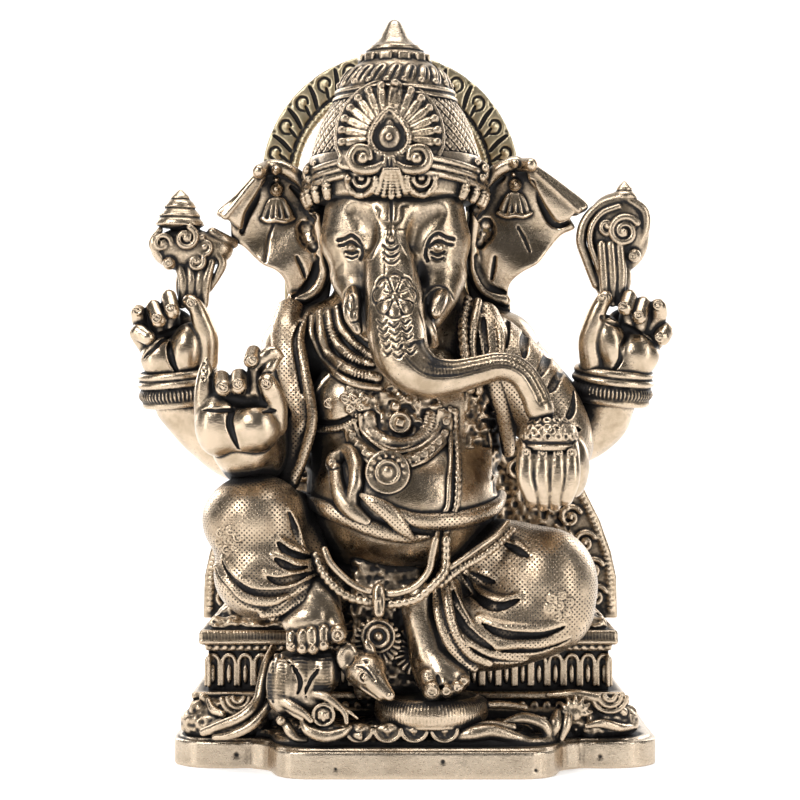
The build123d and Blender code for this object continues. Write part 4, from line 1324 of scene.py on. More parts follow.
def make_halo():
    cx, cz = -3.0, 174.0
    clay = Clay((-48, 19, 110), (42, 35, 219))
    rim, rope = 40.4, 29.8
    end = math.degrees(-0.30)  # the arch runs on a little below its middle

    def at(r, degrees, y):
        a = math.radians(degrees)
        return cx + r * math.cos(a), y, cz + r * math.sin(a)

    degrees = np.linspace(end, 180 - end, 70)
    band = [at(rim, d, 0)[::2] for d in degrees] + [at(rope, d, 0)[::2] for d in degrees[::-1]]
    clay.add(sheet(band, lambda x, z: 27.6, 1.9, 1.2), 0)
    clay.tube([(*at(rope + 0.2, d, 25.4), 1.35) for d in degrees[::3]], 0.2, ribs=(1.55, 0.6))
    clay.line([at(rope + 1.9, d, 25.8) for d in degrees[::3]], 0.5, 0.9)
    # hooked paisleys lean up the rim from both sides: a stem, the hook's outline and its root
    marks = (
        (((39.6, 0, 0.5), (36, 1.6, 0.8), (32.6, 4.6, 0.6)), 26.5),
        (
            (
                (34.6, 10.4, 0.4), (36.6, 11.4, 0.55), (38.4, 9.6, 0.6), (38.6, 6.6, 0.6), (37, 5, 0.5),
                (35.6, 6.4, 0.45),
            ),
            26.2,
        ),
        (((35.4, 8.2, 0.4), (34.2, 9.2, 0.7), (32.6, 10.4, 0.45)), 26.3),
    )
    for side in (-1, 1):
        for i in range(8):
            foot = 90 + side * (12 + 14 * i)
            for path, y in marks:
                clay.tube([(*at(r, foot + side * d, y - w), w) for r, d, w in path], 0.2, cut=True)
            clay.spots([at(39.8, foot + side * 12.6, 26.0)], 0.9, 0.8)
            clay.add(ball(at(36.8, foot + side * 7.2, 25.9), (1.0, 0.7, 1.0)), 0.3)
    # two feet carry the arch down to the shoulders
    for side in (-1, 1):
        x = cx + side * 28.2
        clay.add(block((x, 28, 143), (4.6, 1.6, 23), 1.0, (0, 0, 1)), 0.6)
        clay.add(block((x, 24, 124), (4.2, 5, 4), 1.0, (0, 0, 1)), 0.8)
        for edge in (-4 * side, 4 * side):
            clay.tube([(x + edge, 26.4, 160 - 5 * j, 0.9) for j in range(8)], 0.3)
    made("halo_flame_arch", clay, "halo", "halo_arch")


# ---- arms and hands -----------------------------------------------------------------------------
def make_back_arms():
    arms = {
        "right": [
            (-26, 6, 122, 12.5), (-40.5, 4, 100, 12), (-47, 4, 92, 10.8), (-57, 2, 98, 10),
            (-64.5, 0, 105.5, 9.2),
        ],
        "left": [
            (27, 6, 122, 12.5), (42, 4, 105, 12), (51, 4, 97, 10.5), (59, 2, 100.5, 9.6),
            (61.5, 0, 106, 9.2),
        ],
    }
    for name, path in arms.items():
        xs = [p[0] for p in path]
        clay = Clay((min(xs) - 14, -16, 74), (max(xs) + 14, 22, 138))
        clay.tube(path, 0)
        made(f"{name}_back_arm_bare", clay, "polished", f"{name}_back_arm")


def make_bangles():
    """A ribbed cuff between plain hoops on each wrist."""
    steps, ribs = 48, 64
    bangles = {"right": ((-66, -2, 110), (-0.10, -0.12, 1)), "left": ((63.5, -2, 110.5), (0.10, -0.12, 1))}
    for name, (at, axis) in bangles.items():
        clay = Clay((at[0] - 15, -20, at[2] - 9), (at[0] + 15, 15, at[2] + 9))
        up = unit(axis)
        at = np.array(at)
        turn = aimed(axis)
        clay.add(turned(at, [(-4.6, 8.5), (-4.4, 10.6), (4.4, 10.4), (4.6, 8.5)], axis, squash=0.86), 0)

        def hoop(height, r):
            """Points round the wrist, a little flatter front to back."""
            turns = np.linspace(0, 2 * math.pi, steps + 1)
            return [
                at + up * height + r * (math.cos(a) * turn[0] + 0.86 * math.sin(a) * turn[1])
                for a in turns
            ]

        for h, r, t in ((4.0, 10.7, 1.3), (-4.4, 10.5, 1.1), (1.6, 11.2, 1.2)):
            clay.tube([(*p, t) for p in hoop(h, r)], 0.2)
        clay.tube([(*p, 2.0) for p in hoop(-1.7, 10.6)], 0.2)
        rows = hoop(-3.1, 12.0), hoop(-1.7, 12.6), hoop(-0.4, 12.1)
        for i in range(ribs):
            t = steps * i / ribs
            j = int(t)
            rib = [row[j] * (1 - t + j) + row[j + 1] * (t - j) for row in rows]
            clay.line(rib, 0.34, 0.8, straight=True)
        made(f"{name}_back_bangles", clay, "chased", f"{name}_back_bangle")


def make_right_back_hand():
    """The hand round the goad's foot, forefinger up along it."""
    right = Clay((-84, -24, 104), (-54, 10, 144))
    # palm and back of the hand
    right.add(ball((-63, -7, 121), (5.6, 6.2, 8.2), along=(0.15, 0, 1)), 0)
    right.add(ball((-70.5, -6, 118.5), (6.6, 6.0, 6.8)), 0.6)
    right.add(ball((-66.5, -4, 115), (8.2, 7.0, 6.4)), 1.6)
    right.add(ball((-69.5, -1, 124.5), (9.5, 5.0, 9.5)), 1.0)
    # one finger up along the emblem, the others folded round it
    right.tube([
        (-57.5, -7, 117.5, 3.6), (-57, -9, 124, 3.3), (-58.5, -10, 129, 3), (-60, -10.5, 133, 2.5),
        (-62, -10, 135, 2.3),
    ], 0.5)
    right.tube([(-68, -4, 127, 2.7), (-68.5, -8, 136.5, 2.3), (-67, -11.5, 132, 2.3)], 0.2, straight=True)
    right.tube([(-71.5, -4, 125, 2.7), (-73, -8, 133.5, 2.3), (-71, -11.5, 129.5, 2.3)], 0.2, straight=True)
    right.tube([(-74.5, -4, 124.5, 2.8), (-77, -6, 129, 2.5), (-77.5, -8, 132, 2.3)], 0.3)
    right.tube([(-74.5, -4, 121.5, 3.2), (-77.5, -8, 126, 2.7), (-74.5, -10, 124.5, 2.3)], 0.3)
    # lines of the palm, and nails
    trench(right, [(-68.5, 125, 0.4), (-68, 121, 0.8), (-67, 117, 0.9), (-65, 113, 0.5)], 1.1)
    trench(right, [(-76, 124.5, 0.5), (-71, 125, 1.0), (-67, 126.5, 1.1), (-62.5, 129, 0.7)], 1.3)
    trench(right, [(-75.5, 118.5, 0.4), (-72.5, 121.5, 0.8), (-69, 124.5, 0.6)], 0.9)
    for x, z in ((-77.5, 132.5), (-71.5, 130), (-67.5, 133), (-61.5, 134.5)):
        ringed_boss(right, x, z, 1.1)
    made("right_back_hand_grip", right, "polished", "right_back_hand")


def make_left_back_hand():
    """The hand round the noose's foot, forefinger up along it."""
    left = Clay((52, -24, 104), (84, 10, 144))
    # palm and back of the hand
    left.add(ball((62, -7, 123), (5.2, 6.2, 8.6), along=(-0.22, 0, 1)), 0)
    left.add(ball((70.5, -6, 119.5), (6.6, 6.0, 6.6)), 0.6)
    left.add(ball((65.5, -4, 115), (9.0, 7.2, 6.6)), 1.6)
    left.add(ball((69, -1, 124.5), (9.5, 5.0, 9.5)), 1.0)
    # one finger up along the emblem, the others folded round it
    left.tube([
        (57, -7, 116.5, 3.6), (56, -9, 123, 3.3), (57, -10, 128, 3), (58.5, -10.5, 132.5, 2.6),
        (60.5, -10, 136, 2.4),
    ], 0.5)
    left.tube([(67.5, -4, 127, 2.7), (68, -8, 136.5, 2.3), (66.5, -11.5, 133, 2.3)], 0.2, straight=True)
    left.tube([(71.5, -4, 125, 2.7), (72, -8, 134.5, 2.3), (70.5, -11.5, 130.5, 2.3)], 0.2, straight=True)
    left.tube([(74, -4, 126.5, 2.8), (76.5, -6, 130.5, 2.7), (76.5, -8, 133.5, 2.6)], 0.3)
    left.tube([(74, -4, 122, 3.2), (78.5, -6, 126.5, 2.7), (77.5, -9, 124.5, 2.5)], 0.3)
    # lines of the palm, and nails
    trench(left, [(67, 126.5, 0.5), (65.5, 122, 0.9), (65, 118, 0.8), (63, 114.5, 0.5)], 1.1)
    trench(left, [(59, 130.5, 0.6), (63.5, 128.5, 1.0), (68, 127, 1.1), (74, 123.5, 0.6)], 1.3)
    for x, z in ((59.5, 136), (65.5, 133.5), (70, 131), (76, 134), (76.5, 124.5)):
        ringed_boss(left, x, z, 1.1)
    made("left_back_hand_grip", left, "polished", "left_back_hand")


def make_goad():
    clay = Clay((-80, -14, 130), (-50, 12, 174))
    at = np.array((-65.5, -3, 169))
    tiers = [
        (-11.8, 5.5), (-10.8, 7.4), (-9.6, 7.0), (-8.4, 5.8), (-8.0, 6.4), (-6.8, 5.4), (-5.7, 4.3),
        (-5.4, 4.9), (-4.0, 4.0), (-2.9, 2.6), (-2.6, 3.0), (-1.2, 1.6), (0, 0.2),
    ]
    clay.add(turned(at, tiers, (0.03, 0, 1), squash=0.8), 0)
    clay.add(ball((-64, -2, 151), (10.5, 6.0, 6.5)), 0.8)
    clay.add(ball((-56, -1, 151), (6.0, 4.5, 4.5)), 1.0)
    curl(clay, (-63.5, -8, 154), 3.4, 1.5, 1.0, -1, 1.2, 0.25)
    curl(clay, (-58, -6.5, 151.5), 3.0, 1.5, 0.95, 1, 1.8, 0.25)
    curl(clay, (-70.5, -7, 152.5), 2.8, 1.3, 0.9, 1, 0, 0.25)
    curl(clay, (-60.5, -7, 147), 2.4, 1.3, 0.85, -1, 0.5, 0.25)
    clay.add(ball((-68.5, -7, 146.5), 2.0), 0.2)
    ringed_boss(clay, -68.5, 146.5, 1.0)
    clay.tube([(-71.5, -5, 156.5, 1), (-73.5, -6, 152.5, 1.3), (-71, -6, 148, 1)], 0.3)
    clay.tube([(-56, -3, 156, 1.6), (-53, -2, 154, 2), (-50, 0, 153, 1.6)], 0.4)
    clay.tube([(-55.5, -4, 150.5, 1.2), (-53, -4, 147, 1.4), (-54.5, -4, 143, 1.2), (-57, -4, 139, 1)], 0.3)
    # four stems run down into the fist
    for top, mid, low in (
        (-66.1399, -64.3483, -64.9455), (-62.5567, -61.9595, -62.5567),
        (-58.9735, -59.5707, -60.1679), (-56.2861, -57.7791, -58.3763),
    ):
        clay.tube([(top, -4.5, 147, 1.4), (mid, -5.5, 141, 1.6), (low, -5, 134.5, 1.4)], 0.2)
    clay.add(ball((-62, -2, 140.5), (5.2, 3.2, 7)), 0.8)
    made("goad_scrolled", clay, "chased", "goad")


def make_noose():
    clay = Clay((50, -14, 130), (80, 12, 174))
    at = np.array((67, -3, 171.5))
    tiers = [(-5.6, 3.2), (-5.2, 4.0), (-4.0, 3.4), (-2.9, 2.1), (-2.6, 2.6), (-1.2, 1.4), (0, 0.2)]
    clay.add(turned(at, tiers, squash=0.8), 0)
    clay.add(ball((65, -2, 156), (9.5, 5.0, 12.0), along=(-0.12, 0, 1)), 1.0)
    rim = [
        (66.5, -4, 166, 1.5), (60, -4, 164, 1.5), (55.5, -4, 159.5, 1.6), (54, -4, 153.5, 1.6),
        (56, -4, 147, 1.5), (58.5, -4, 140.5, 1.5),
    ]
    clay.tube(rim, 0.3)
    inner = [
        (65, -6, 163.5, 0.9), (60, -6, 161.5, 0.9), (57, -6, 157.5, 0.9), (56.5, -6, 152.5, 0.9),
        (58.5, -6, 146.5, 0.9), (60.5, -6, 140.5, 0.9),
    ]
    clay.tube(inner, 0.2)
    clay.tube([(67.5, -4, 166, 1.5), (72.5, -4, 162.5, 1.6), (73, -4, 157.5, 1.6), (71, -4, 152, 1.4)], 0.3)
    curl(clay, (66.5, -7, 156), 4.6, 1.8, 1.15, 1, 0.6, 0.2)
    curl(clay, (61.5, -6.5, 157.5), 2.8, 1.4, 0.9, -1, 0.6, 0.2)
    clay.add(ball((69.5, -6, 149), 2.1), 0.2)
    ringed_boss(clay, 69, 148.5, 1.0)
    clay.add(ball((63.5, -3, 142.5), (5.6, 3.6, 8)), 0.8)
    # three stems run down into the fist
    for top, low in ((59.8693, 61.0637), (62.5567, 63.1539), (65.2441, 65.2441)):
        clay.tube([(top, -6.2, 152, 1.4), (top + 0.5972, -6.4, 143, 1.5), (low, -6, 135, 1.4)], 0.2)
    made("noose_looped", clay, "chased", "noose")


def make_right_sleeve():
    right = Clay((-62, -46, 74), (-14, 12, 136))
    # upper arm, elbow and forearm
    right.tube([(-32, 5, 122.5, 7.5), (-37, -5, 106.5, 9), (-42, -14, 91.5, 10.5), (-45, -28, 93, 9.2)], 0)
    right.keep_above(78)
    for path in (
        [(-37, 127.5), (-37, 123.5), (-36.5, 119.5)], [(-36, 121.5), (-33.5, 116.5), (-30, 109.5)],
        [(-34.5, 114), (-32, 110), (-29.5, 103.5)],
    ):
        fold(right, path, 1.1, 1.2)
    made("right_front_sleeve", right, "polished", "right_front_arm")


def make_right_hand():
    """The raised palm: one finger stands, the others fold, and a small leaf is held at their tips."""
    hand = Clay((-62, -50, 80), (-30, -20, 124))
    # palm
    hand.add(ball((-52, -34, 99.5), (6.4, 7.2, 9.6)), 0)
    hand.add(ball((-41, -35, 98.5), (7.4, 7.6, 7.4)), 0.8)
    hand.add(ball((-46, -33, 97.5), (10.6, 7.2, 7.4)), 2.0)
    hand.add(ball((-46, -32, 102.5), (11.4, 6.0, 9.5)), 2.0)
    # the standing finger, creased at its tip
    hand.tube([
        (-55, -33, 97.5, 3.2), (-55.5, -35, 103.5, 3), (-55.5, -36, 109, 2.7), (-55, -36, 113.5, 2.3),
        (-55, -36, 117.5, 0.8),
    ], 0.5)
    for z in (116.8, 114.7, 112.4):
        hand.line(hand.on([(-58.0, z), (-55.4, z - 0.4), (-53.0, z)]), 0.4, 0.7)
    # three folded fingers and the thumb
    hand.tube([
        (-50.5, -34, 104.5, 3), (-50.5, -37, 112, 2.5), (-49.5, -41, 109.5, 2.5),
    ], 0.2, straight=True)
    hand.tube([(-46, -34, 104.5, 3), (-45.5, -37, 112.5, 2.5), (-45.5, -41, 110, 2.5)], 0.2, straight=True)
    hand.tube([
        (-41, -34, 104.5, 2.8), (-41, -36, 115, 2.3), (-41.5, -36, 119.5, 2.1), (-42, -40, 117, 2.1),
    ], 0.2, straight=True)
    hand.tube([
        (-36, -34, 99, 4), (-35.5, -36, 105, 3.5), (-36.5, -39, 109, 3), (-37.5, -40, 111, 2.6),
    ], 0.5)
    # the leaf
    hand.tube([
        (-40.5, -38, 115, 0.9), (-38.5, -38, 118, 1.8), (-36, -37, 119.5, 1.9), (-34, -36, 118.5, 1.2),
    ], 0.3, flat=0.8)
    hand.tube([(-39, -38, 112, 0.8), (-36.5, -38, 115.5, 1.6), (-34, -36, 118.5, 1)], 0.3, flat=0.8)
    # lines of the palm, and nails
    trench(hand, [(-46, 105.5, 0.5), (-48, 100.5, 0.9), (-47, 96, 0.9), (-45.5, 92.5, 0.5)], 1.1)
    trench(hand, [(-55.5, 103, 0.3), (-51.5, 103, 0.6), (-47, 103, 0.5)], 0.8)
    trench(hand, [(-49, 106.5, 1.0), (-45, 105.5, 1.9), (-41, 105.5, 2.0), (-38, 105, 1.0)], 1.8, 0.8)
    trench(hand, [(-38.5, 102.5, 0.4), (-36.5, 103, 0.5), (-35, 103, 0.3)], 0.7)
    for x, z in ((-49.5, 109.5), (-45.5, 110.5), (-41.5, 117), (-37.5, 110.5)):
        ringed_boss(hand, x, z, 1.15)
    made("right_front_hand_blessing", hand, "polished", "right_front_hand")


def make_left_sleeve():
    """The sleeve with its pierced slits."""
    left = Clay((14, -44, 76), (66, 14, 136))
    left.tube([
        (26.5, -6, 120.5, 11), (35, -10, 113, 10.8), (43, -13, 103.5, 10.2), (47.5, -17, 93.5, 9),
        (45, -25, 88.5, 7.6),
    ], 0)
    for path in (
        [(38, 127.5, 0.5), (36.5, 123.5, 1.5), (36, 118.5, 0.8)],
        [(44.5, 122, 0.5), (42.5, 117, 1.6), (39.5, 112, 0.8)],
        [(47.5, 116, 0.5), (47, 114, 1.1), (45.5, 112, 1.3), (44, 109.5, 1.2), (41.5, 107.5, 0.5)],
        [(50.5, 108.5, 0.4), (50.5, 106.5, 0.8), (50, 103.5, 1.1), (49, 101.5, 1.0), (47.5, 99.5, 0.4)],
        [(48.5, 98, 0.4), (50.5, 97.5, 1.0), (52.5, 97, 0.3)],
        [(32, 130, 0.4), (31, 126, 1.2), (31, 121, 0.6)],
    ):
        trench(left, path, 1.6, 0.5)
    made("left_front_sleeve", left, "cloth", "left_front_arm")


def make_left_hand():
    """The cupped hand under the sweets."""
    hand = Clay((28, -50, 66), (62, -20, 106))
    # palm, thumb and four fingers that hang over the front
    hand.add(ball((43, -33, 88), (9.8, 8.0, 10.0)), 0)
    hand.add(ball((49.5, -31, 87.5), (4.6, 6.5, 9.5)), 1.5)
    hand.tube([(47.5, -33, 94.5, 2.4), (50, -34, 92, 2.6), (51, -32, 86.5, 2.8)], 1.0)
    hand.add(block((41.8, -39.4, 85), (7.4, 3.6, 7.4), 3.0), 0.6)
    for root, tip, low in ((35.3, 37.0, 77.4), (39.8, 40.3, 76.6), (44.2, 43.6, 76.8), (48.0, 46.6, 78.2)):
        finger = [(root, -38, 93.5, 2.4), (root, -40.6, 90, 2.6), (root, -41.4, 84, 2.6)]
        hand.tube([*finger, (tip, -40.4, 79, 2.4), (tip, -38, low, 2.1)], 0.2)
        ringed_boss(hand, root + 0.1, 91.2, 1.1)
    made("left_front_hand_cupped", hand, "polished", "left_front_hand")


def make_sweets():
    """A rim and a heap of round sweets."""
    sweets = Clay((28, -50, 88), (60, -22, 108))
    centre = np.array((42, -37, 93))
    profile = [
        (-1.6, 5.5), (-1.2, 7.8), (0.2, 8.4), (0.8, 7.6), (1.8, 8.1), (3.8, 8.0), (5.8, 7.0), (7.4, 5.0),
        (8.2, 2.2), (8.4, 0.4),
    ]
    sweets.add(turned(centre, profile, squash=0.9), 0)
    sweets.engrave(lambda x, y, z: 0.5 * crumple(x, z) * (z > centre[2] + 1.6))
    rows = (
        (2.8, 8.1, 19, 0, 0.0), (5.2, 7.4, 17, 0.5, 0.45), (7.3, 5.1, 11, 0, 1.0),
        (8.3, 2.0, 4, 0.5, 3.0),
    )
    for height, r, count, shift, tilt in rows:
        for i in range(count):
            a = 2 * math.pi * (i + shift) / count
            u, v = math.cos(a), 0.9 * math.sin(a)
            sweets.add(ring(centre + (r * u, r * v, height), 0.95, 0.36, (u, v, tilt)), 0.12)
    made("sweet_dish_filled", sweets, "chased", "sweet_dish")


# ---- cloth and jewels on the chest --------------------------------------------------------------
def make_right_shawl():
    right = Clay((-42, -34, 76), (-14, 12, 138))
    right.tube([
        (-33, 0, 132, 4.6), (-33.5, -7, 125.5, 5), (-32, -12, 118, 5), (-30, -15, 108.5, 4.2),
        (-27.5, -18, 100, 3),
    ], 0, flat=0.5)
    right.tube([
        (-27.5, -4, 131, 1.3), (-29.5, -11, 124.5, 1.4), (-28, -16, 115.5, 1.4), (-26.5, -18, 108.5, 1.5),
        (-25.5, -20, 100, 1.6), (-28, -20, 90, 1.6), (-31.5, -20, 81.5, 1.4),
    ], 0.4)
    right.tube([(-29.5, -15, 98.5, 3.6), (-30.5, -16, 91, 4), (-32.5, -18, 82.5, 3.4)], 1.5, flat=0.8)
    fold(right, [(-29.5, 129), (-31, 123), (-29.5, 114), (-28, 106)], 0.8, 1.1)
    made("right_shawl_fall", right, "cloth", "right_shawl")


def make_left_shawl():
    left = Clay((12, -34, 66), (44, 12, 138))
    left.tube([
        (25, -8, 130.5, 4.6), (27, -13, 123.5, 5.4), (28.5, -15, 114, 5), (30.5, -15, 106.5, 4.2),
        (31.5, -12, 99, 3), (32, -8, 91, 2),
    ], 0, flat=0.8)
    left.tube([
        (20, -10, 135.5, 1.4), (18.5, -16, 129, 1.5), (18.5, -20, 122, 1.5), (20.5, -22, 109, 1.4),
    ], 0.3, ribs=(2.2, 0.5))
    left.tube([
        (23, -10, 135, 1.3), (21.5, -16, 128, 1.4), (21, -18, 120.5, 1.3), (23, -20, 108.5, 1.3),
    ], 0.3)
    left.tube([
        (26, -10, 132, 1.2), (29, -16, 126.5, 1.3), (29.5, -18, 120, 1.2), (27.5, -18, 115.5, 1),
    ], 0.3)
    fold(left, [(24.5, 130), (24.5, 124), (25.5, 119)], 1.2, 1.3)
    made("left_shawl_fall", left, "cloth", "left_shawl")


def make_necklace(torso):
    """Strands over the right shoulder, a collar round the pendant and two jewelled bands."""
    clay = Clay((-32, -42, 82), (30, -2, 138))
    strands = (
        ([(-26, 130.5), (-26, 125), (-22.5, 118), (-18, 113), (-12.5, 110.5), (-6, 109.5)], 0.9, None),
        ([
            (-23.5, 131.5), (-23, 125.5), (-21, 119.5), (-16.5, 115.5), (-12, 113.5), (-7, 112.5),
        ], 1.5, (0.95, 0.5)),
        ([(-21, 131.5), (-20, 126), (-17.5, 121.5), (-13.5, 118), (-8.5, 116.5)], 1.45, (0.95, 0.45)),
        ([(-18.5, 133), (-17.5, 128), (-15, 124.5), (-12, 121.5), (-8.5, 119)], 1.3, (0.95, 0.45)),
        ([(-16, 133.5), (-14.5, 130), (-12.5, 127), (-9.5, 124)], 1.1, (0.95, 0.45)),
    )
    for points, r, ribs in strands:
        clay.lay(torso, points, 1.2 * r, 0.9, 0.15, ribs=ribs)
    # band under the breast
    clay.lay(torso, [(-26, 98), (-22, 97.5), (-17, 98), (-13, 100)], 1.2, 0.5, 0.2, ribs=(1.0, 0.4))
    # ribbed collar round the pendant, with a double rim
    collar = [(-9, 101), (-7.5, 96.5), (-4, 94), (0, 93), (4.5, 94), (7.5, 97), (9, 101.5)]
    clay.lay(torso, collar, 2.2, 0.0, 0.2, ribs=(0.9, 0.5), flat=0.7)
    rim = [
        (-11.5, 101.5), (-11, 97.5), (-8, 94), (-4, 91.5), (0, 91), (4.5, 92), (8.5, 94.5), (11.5, 98),
        (12.5, 103),
    ]
    for scale, r in ((1.0, 0.75), (0.91, 0.55)):
        low = 93.5
        points = [(scale * x, low + (z - low) * (0.2 + 0.8 * scale) + (1 - scale) * 9) for x, z in rim]
        clay.lay(torso, points, r, 0.5, 0.15)
    # jewelled bands climb from the medallion to both shoulders, between smooth rims
    for side, points in (
        (-1, [(-7.5, 89), (-10, 91), (-13, 94), (-14.5, 98)]),
        (1, [(2, 88.5), (6, 90), (10, 93), (13, 96.5), (13.5, 101.5)]),
    ):
        clay.lay(torso, points, 1.9, 0.3, 0.2, flat=0.6)
        for shift in (-2.0, 2.0):
            edge = [(x + shift * 0.7, z - shift * 0.6 * side) for x, z in points]
            clay.lay(torso, edge, 0.55, 0.8, 0.15)
        for x, _, z in spline(torso.on(points, 0.5), 2.3)[::2]:
            ringed_boss(clay, x, z, 0.8)
    made("necklace_strands", clay, "chased", "necklace")


def make_pendant(torso):
    drop = Clay((-8, -42, 92), (9, -18, 114))
    at = np.array(torso.on([(0, 99.5)], 1.4)[0])
    drop.add(ball(at, (3.2, 1.8, 3.3)), 0)
    drop.add(ring(at + (0, -0.9, 0), 2.7, 0.6), 0.15)
    drop.add(block(at + (0, -1.6, 0), (1.2, 0.8, 1.2), 0.4, (0.35, 0, 1)), 0.1)
    drop.add(ball(at + (-1.3, -0.4, 4.7), 1.6), 0.2)
    drop.spots([tuple(at + (-1.3, -2.0, 4.7))], 0.45, 0.4)
    made("neck_pendant_drop", drop, "polished", "neck_pendant")


def make_medallion(torso):
    """A coin with a boss, two raised rings and a ring of studs."""
    coin = Clay((-16, -46, 76), (10, -24, 96))
    at = np.array(torso.on([(-3.5, 85.5)], 0.9)[0])
    tilt = (0, -1, 0.12)
    coin.add(disc(at, 6.3, 1.4, 0.7, tilt), 0)
    coin.add(ring(at + (0, -0.9, 0), 5.9, 0.55, tilt), 0.2)
    coin.add(disc(at + (0, -0.9, 0), 3.4, 1.0, 0.5, tilt), 0.2)
    coin.add(ring(at + (0, -1.7, 0), 3.2, 0.55, tilt), 0.2)
    coin.add(ball(at + (0, -1.6, 0), (1.8, 1.2, 1.8)), 0.3)
    studs = 15
    for i in range(studs):
        a = 2 * math.pi * i / studs
        coin.add(ball(at + (4.65 * math.cos(a), -1.2, 4.65 * math.sin(a)), 0.62), 0.15)
    made("chest_medallion_coin", coin, "chased", "chest_medallion")


def make_thread(torso):
    """A thin and a ribbed cord hang side by side from the left shoulder."""
    clay = Clay((4, -46, 44), (26, -14, 108))
    thin = [
        (14.5, 103.5), (14.5, 97.5), (14.5, 90.5), (14, 83.5), (13.5, 76), (11.5, 72), (10.5, 67.5),
        (10, 60.5), (7, 55.5), (2.5, 52),
    ]
    thick = [
        (16, 102.5), (16, 97.5), (16.5, 90.5), (16.5, 83.5), (16, 76), (14.5, 72), (13, 67.5),
        (12.5, 60.5), (10.5, 54.5), (6, 50.5),
    ]
    clay.lay(torso, thin, 0.8, 0.4, 0)
    clay.lay(torso, thick, 1.15, 0.4, 0.15, ribs=(2.0, 0.28))
    clay.line(torso.on([(13, 101.5), (12.5, 90.5), (12, 76)], 0.0), 0.7, 0.8)
    made("sacred_thread", clay, "chased")


def make_serpent(torso):
    """The serpent tied round the belly: two coils that meet in front and its tail."""
    clay = Clay((-38, -48, 54), (38, -8, 88))
    # the coil from the right flank
    low = torso.on([(-31, 78), (-23.5, 75.5), (-15.5, 72.5), (-6, 69), (2.5, 67), (8, 67)], 0.4)
    clay.tube(sized(low, (1.6, 2.2, 2.6, 2.6, 1.9, 0.7)), 0)
    # the coil from the left flank
    high = torso.on([(31, 79), (27.5, 75), (20.5, 72.5), (11.5, 71.5), (4.5, 72), (-1, 74.5)], 0.6)
    clay.tube(sized(high, (1.4, 2.3, 2.6, 2.6, 2.2, 1.2)), 0.15)
    # the tail, veined like a leaf
    tail = torso.on([(-11, 79), (-7.5, 77), (-3, 74), (0.5, 70), (4, 66.5)], 2.0)
    clay.tube(sized(tail, (0.7, 1.9, 2.5, 2.0, 0.7)), 0.12, flat=0.6)
    clay.tube([(p[0], p[1] - 1.3, p[2], 0.35) for p in tail[1:-1]], 0.1)
    made("serpent_girdle_coils", clay, "cloth", "serpent_belt")


def make_hood(torso):
    """The serpent's neck and hood, reared over the coils."""
    hood = Clay((-28, -48, 64), (-4, -22, 96))
    # the hood's outer fold and the neck inside it
    crest = torso.on([
        (-18.5, 88), (-16.5, 91), (-14, 90.5), (-12.5, 87), (-12.5, 82.5), (-13.5, 78), (-13, 74),
    ], 1.2)
    hood.tube(sized(crest, (2.4, 2.3, 2.4, 2.4, 2.2, 1.9, 1.6)), 0)
    neck = torso.on([(-18.5, 86), (-18, 82), (-16.5, 78), (-13.5, 74.5), (-9.5, 71.5)], 1.2)
    hood.tube(sized(neck, (2.1, 2.3, 2.6, 2.7, 1.8)), 0.3)
    face = np.array(torso.on([(-19, 88)], 1.8)[0])
    hood.add(ball(face, (2.6, 2.2, 3.2)), 0.6)
    ringed_boss(hood, face[0] - 0.5, face[2], 0.9)
    mouth = ((-2.2, -1.4), (-0.4, -1.9), (1.4, -1.5))
    hood.line(hood.on([(face[0] + u, face[2] + v) for u, v in mouth]), 0.3, 0.5)
    made("serpent_hood", hood, "chased", "serpent_head")


def make_belt():
    """The cords of the belt, in pairs, and the knot that holds them."""
    clay = Clay((-34, -44, 38), (38, -12, 74))
    for path, r, ribs in (
        ([
            (-24, -32, 61.5), (-22, -34, 57), (-17.5, -35, 52), (-13, -35, 49.5), (-7, -36, 48.5),
        ], 1.45, (2.1, 0.35)),
        ([
            (-21.5, -34, 63.5), (-19.5, -35, 59.5), (-14.5, -35, 54.5), (-10, -35, 52), (-6, -36, 51.5),
        ], 1.0, None),
        ([
            (-4.5, -36, 48), (0, -37, 48.5), (5, -38, 50), (9.5, -39, 54), (12.5, -38, 57.5),
            (13, -37, 62), (13, -37, 66.5),
        ], 1.4, (2.1, 0.3)),
        ([
            (-4.5, -36, 51), (0, -37, 51.5), (4.5, -38, 53.5), (8, -38, 57.5), (9, -38, 62),
            (10, -38, 66.5),
        ], 1.1, None),
        ([
            (11.5, -37, 54), (17.5, -36, 58.5), (23, -35, 61.5), (28, -33, 65), (32, -29, 68.5),
        ], 1.3, (1.5, 0.4)),
        ([(11, -37, 56.5), (17, -37, 60.5), (22, -36, 64), (27.5, -33, 67.5), (31, -29, 71)], 0.8, None),
    ):
        clay.tube([(*p, r) for p in path], 0.2, ribs=ribs)
    clay.tube([(-6, -37, 52.5, 1.7), (-6, -38, 49.5, 1.9), (-6, -38, 46, 1.6)], 0.2, straight=True)
    for x in (-6, -5):
        clay.line([(x, -39, 52.5), (x, -39.5, 46.5)], 0.4, 0.5)
    made("belt_and_knot", clay, "chased", "girdle_knot")


# ---- finishes -----------------------------------------------------------------------------------
PUNCH_PITCH = 1.0  # distance between the punch marks of the cloth, mm
DOT_DIRT = 0.6  # how much patina a punch mark holds


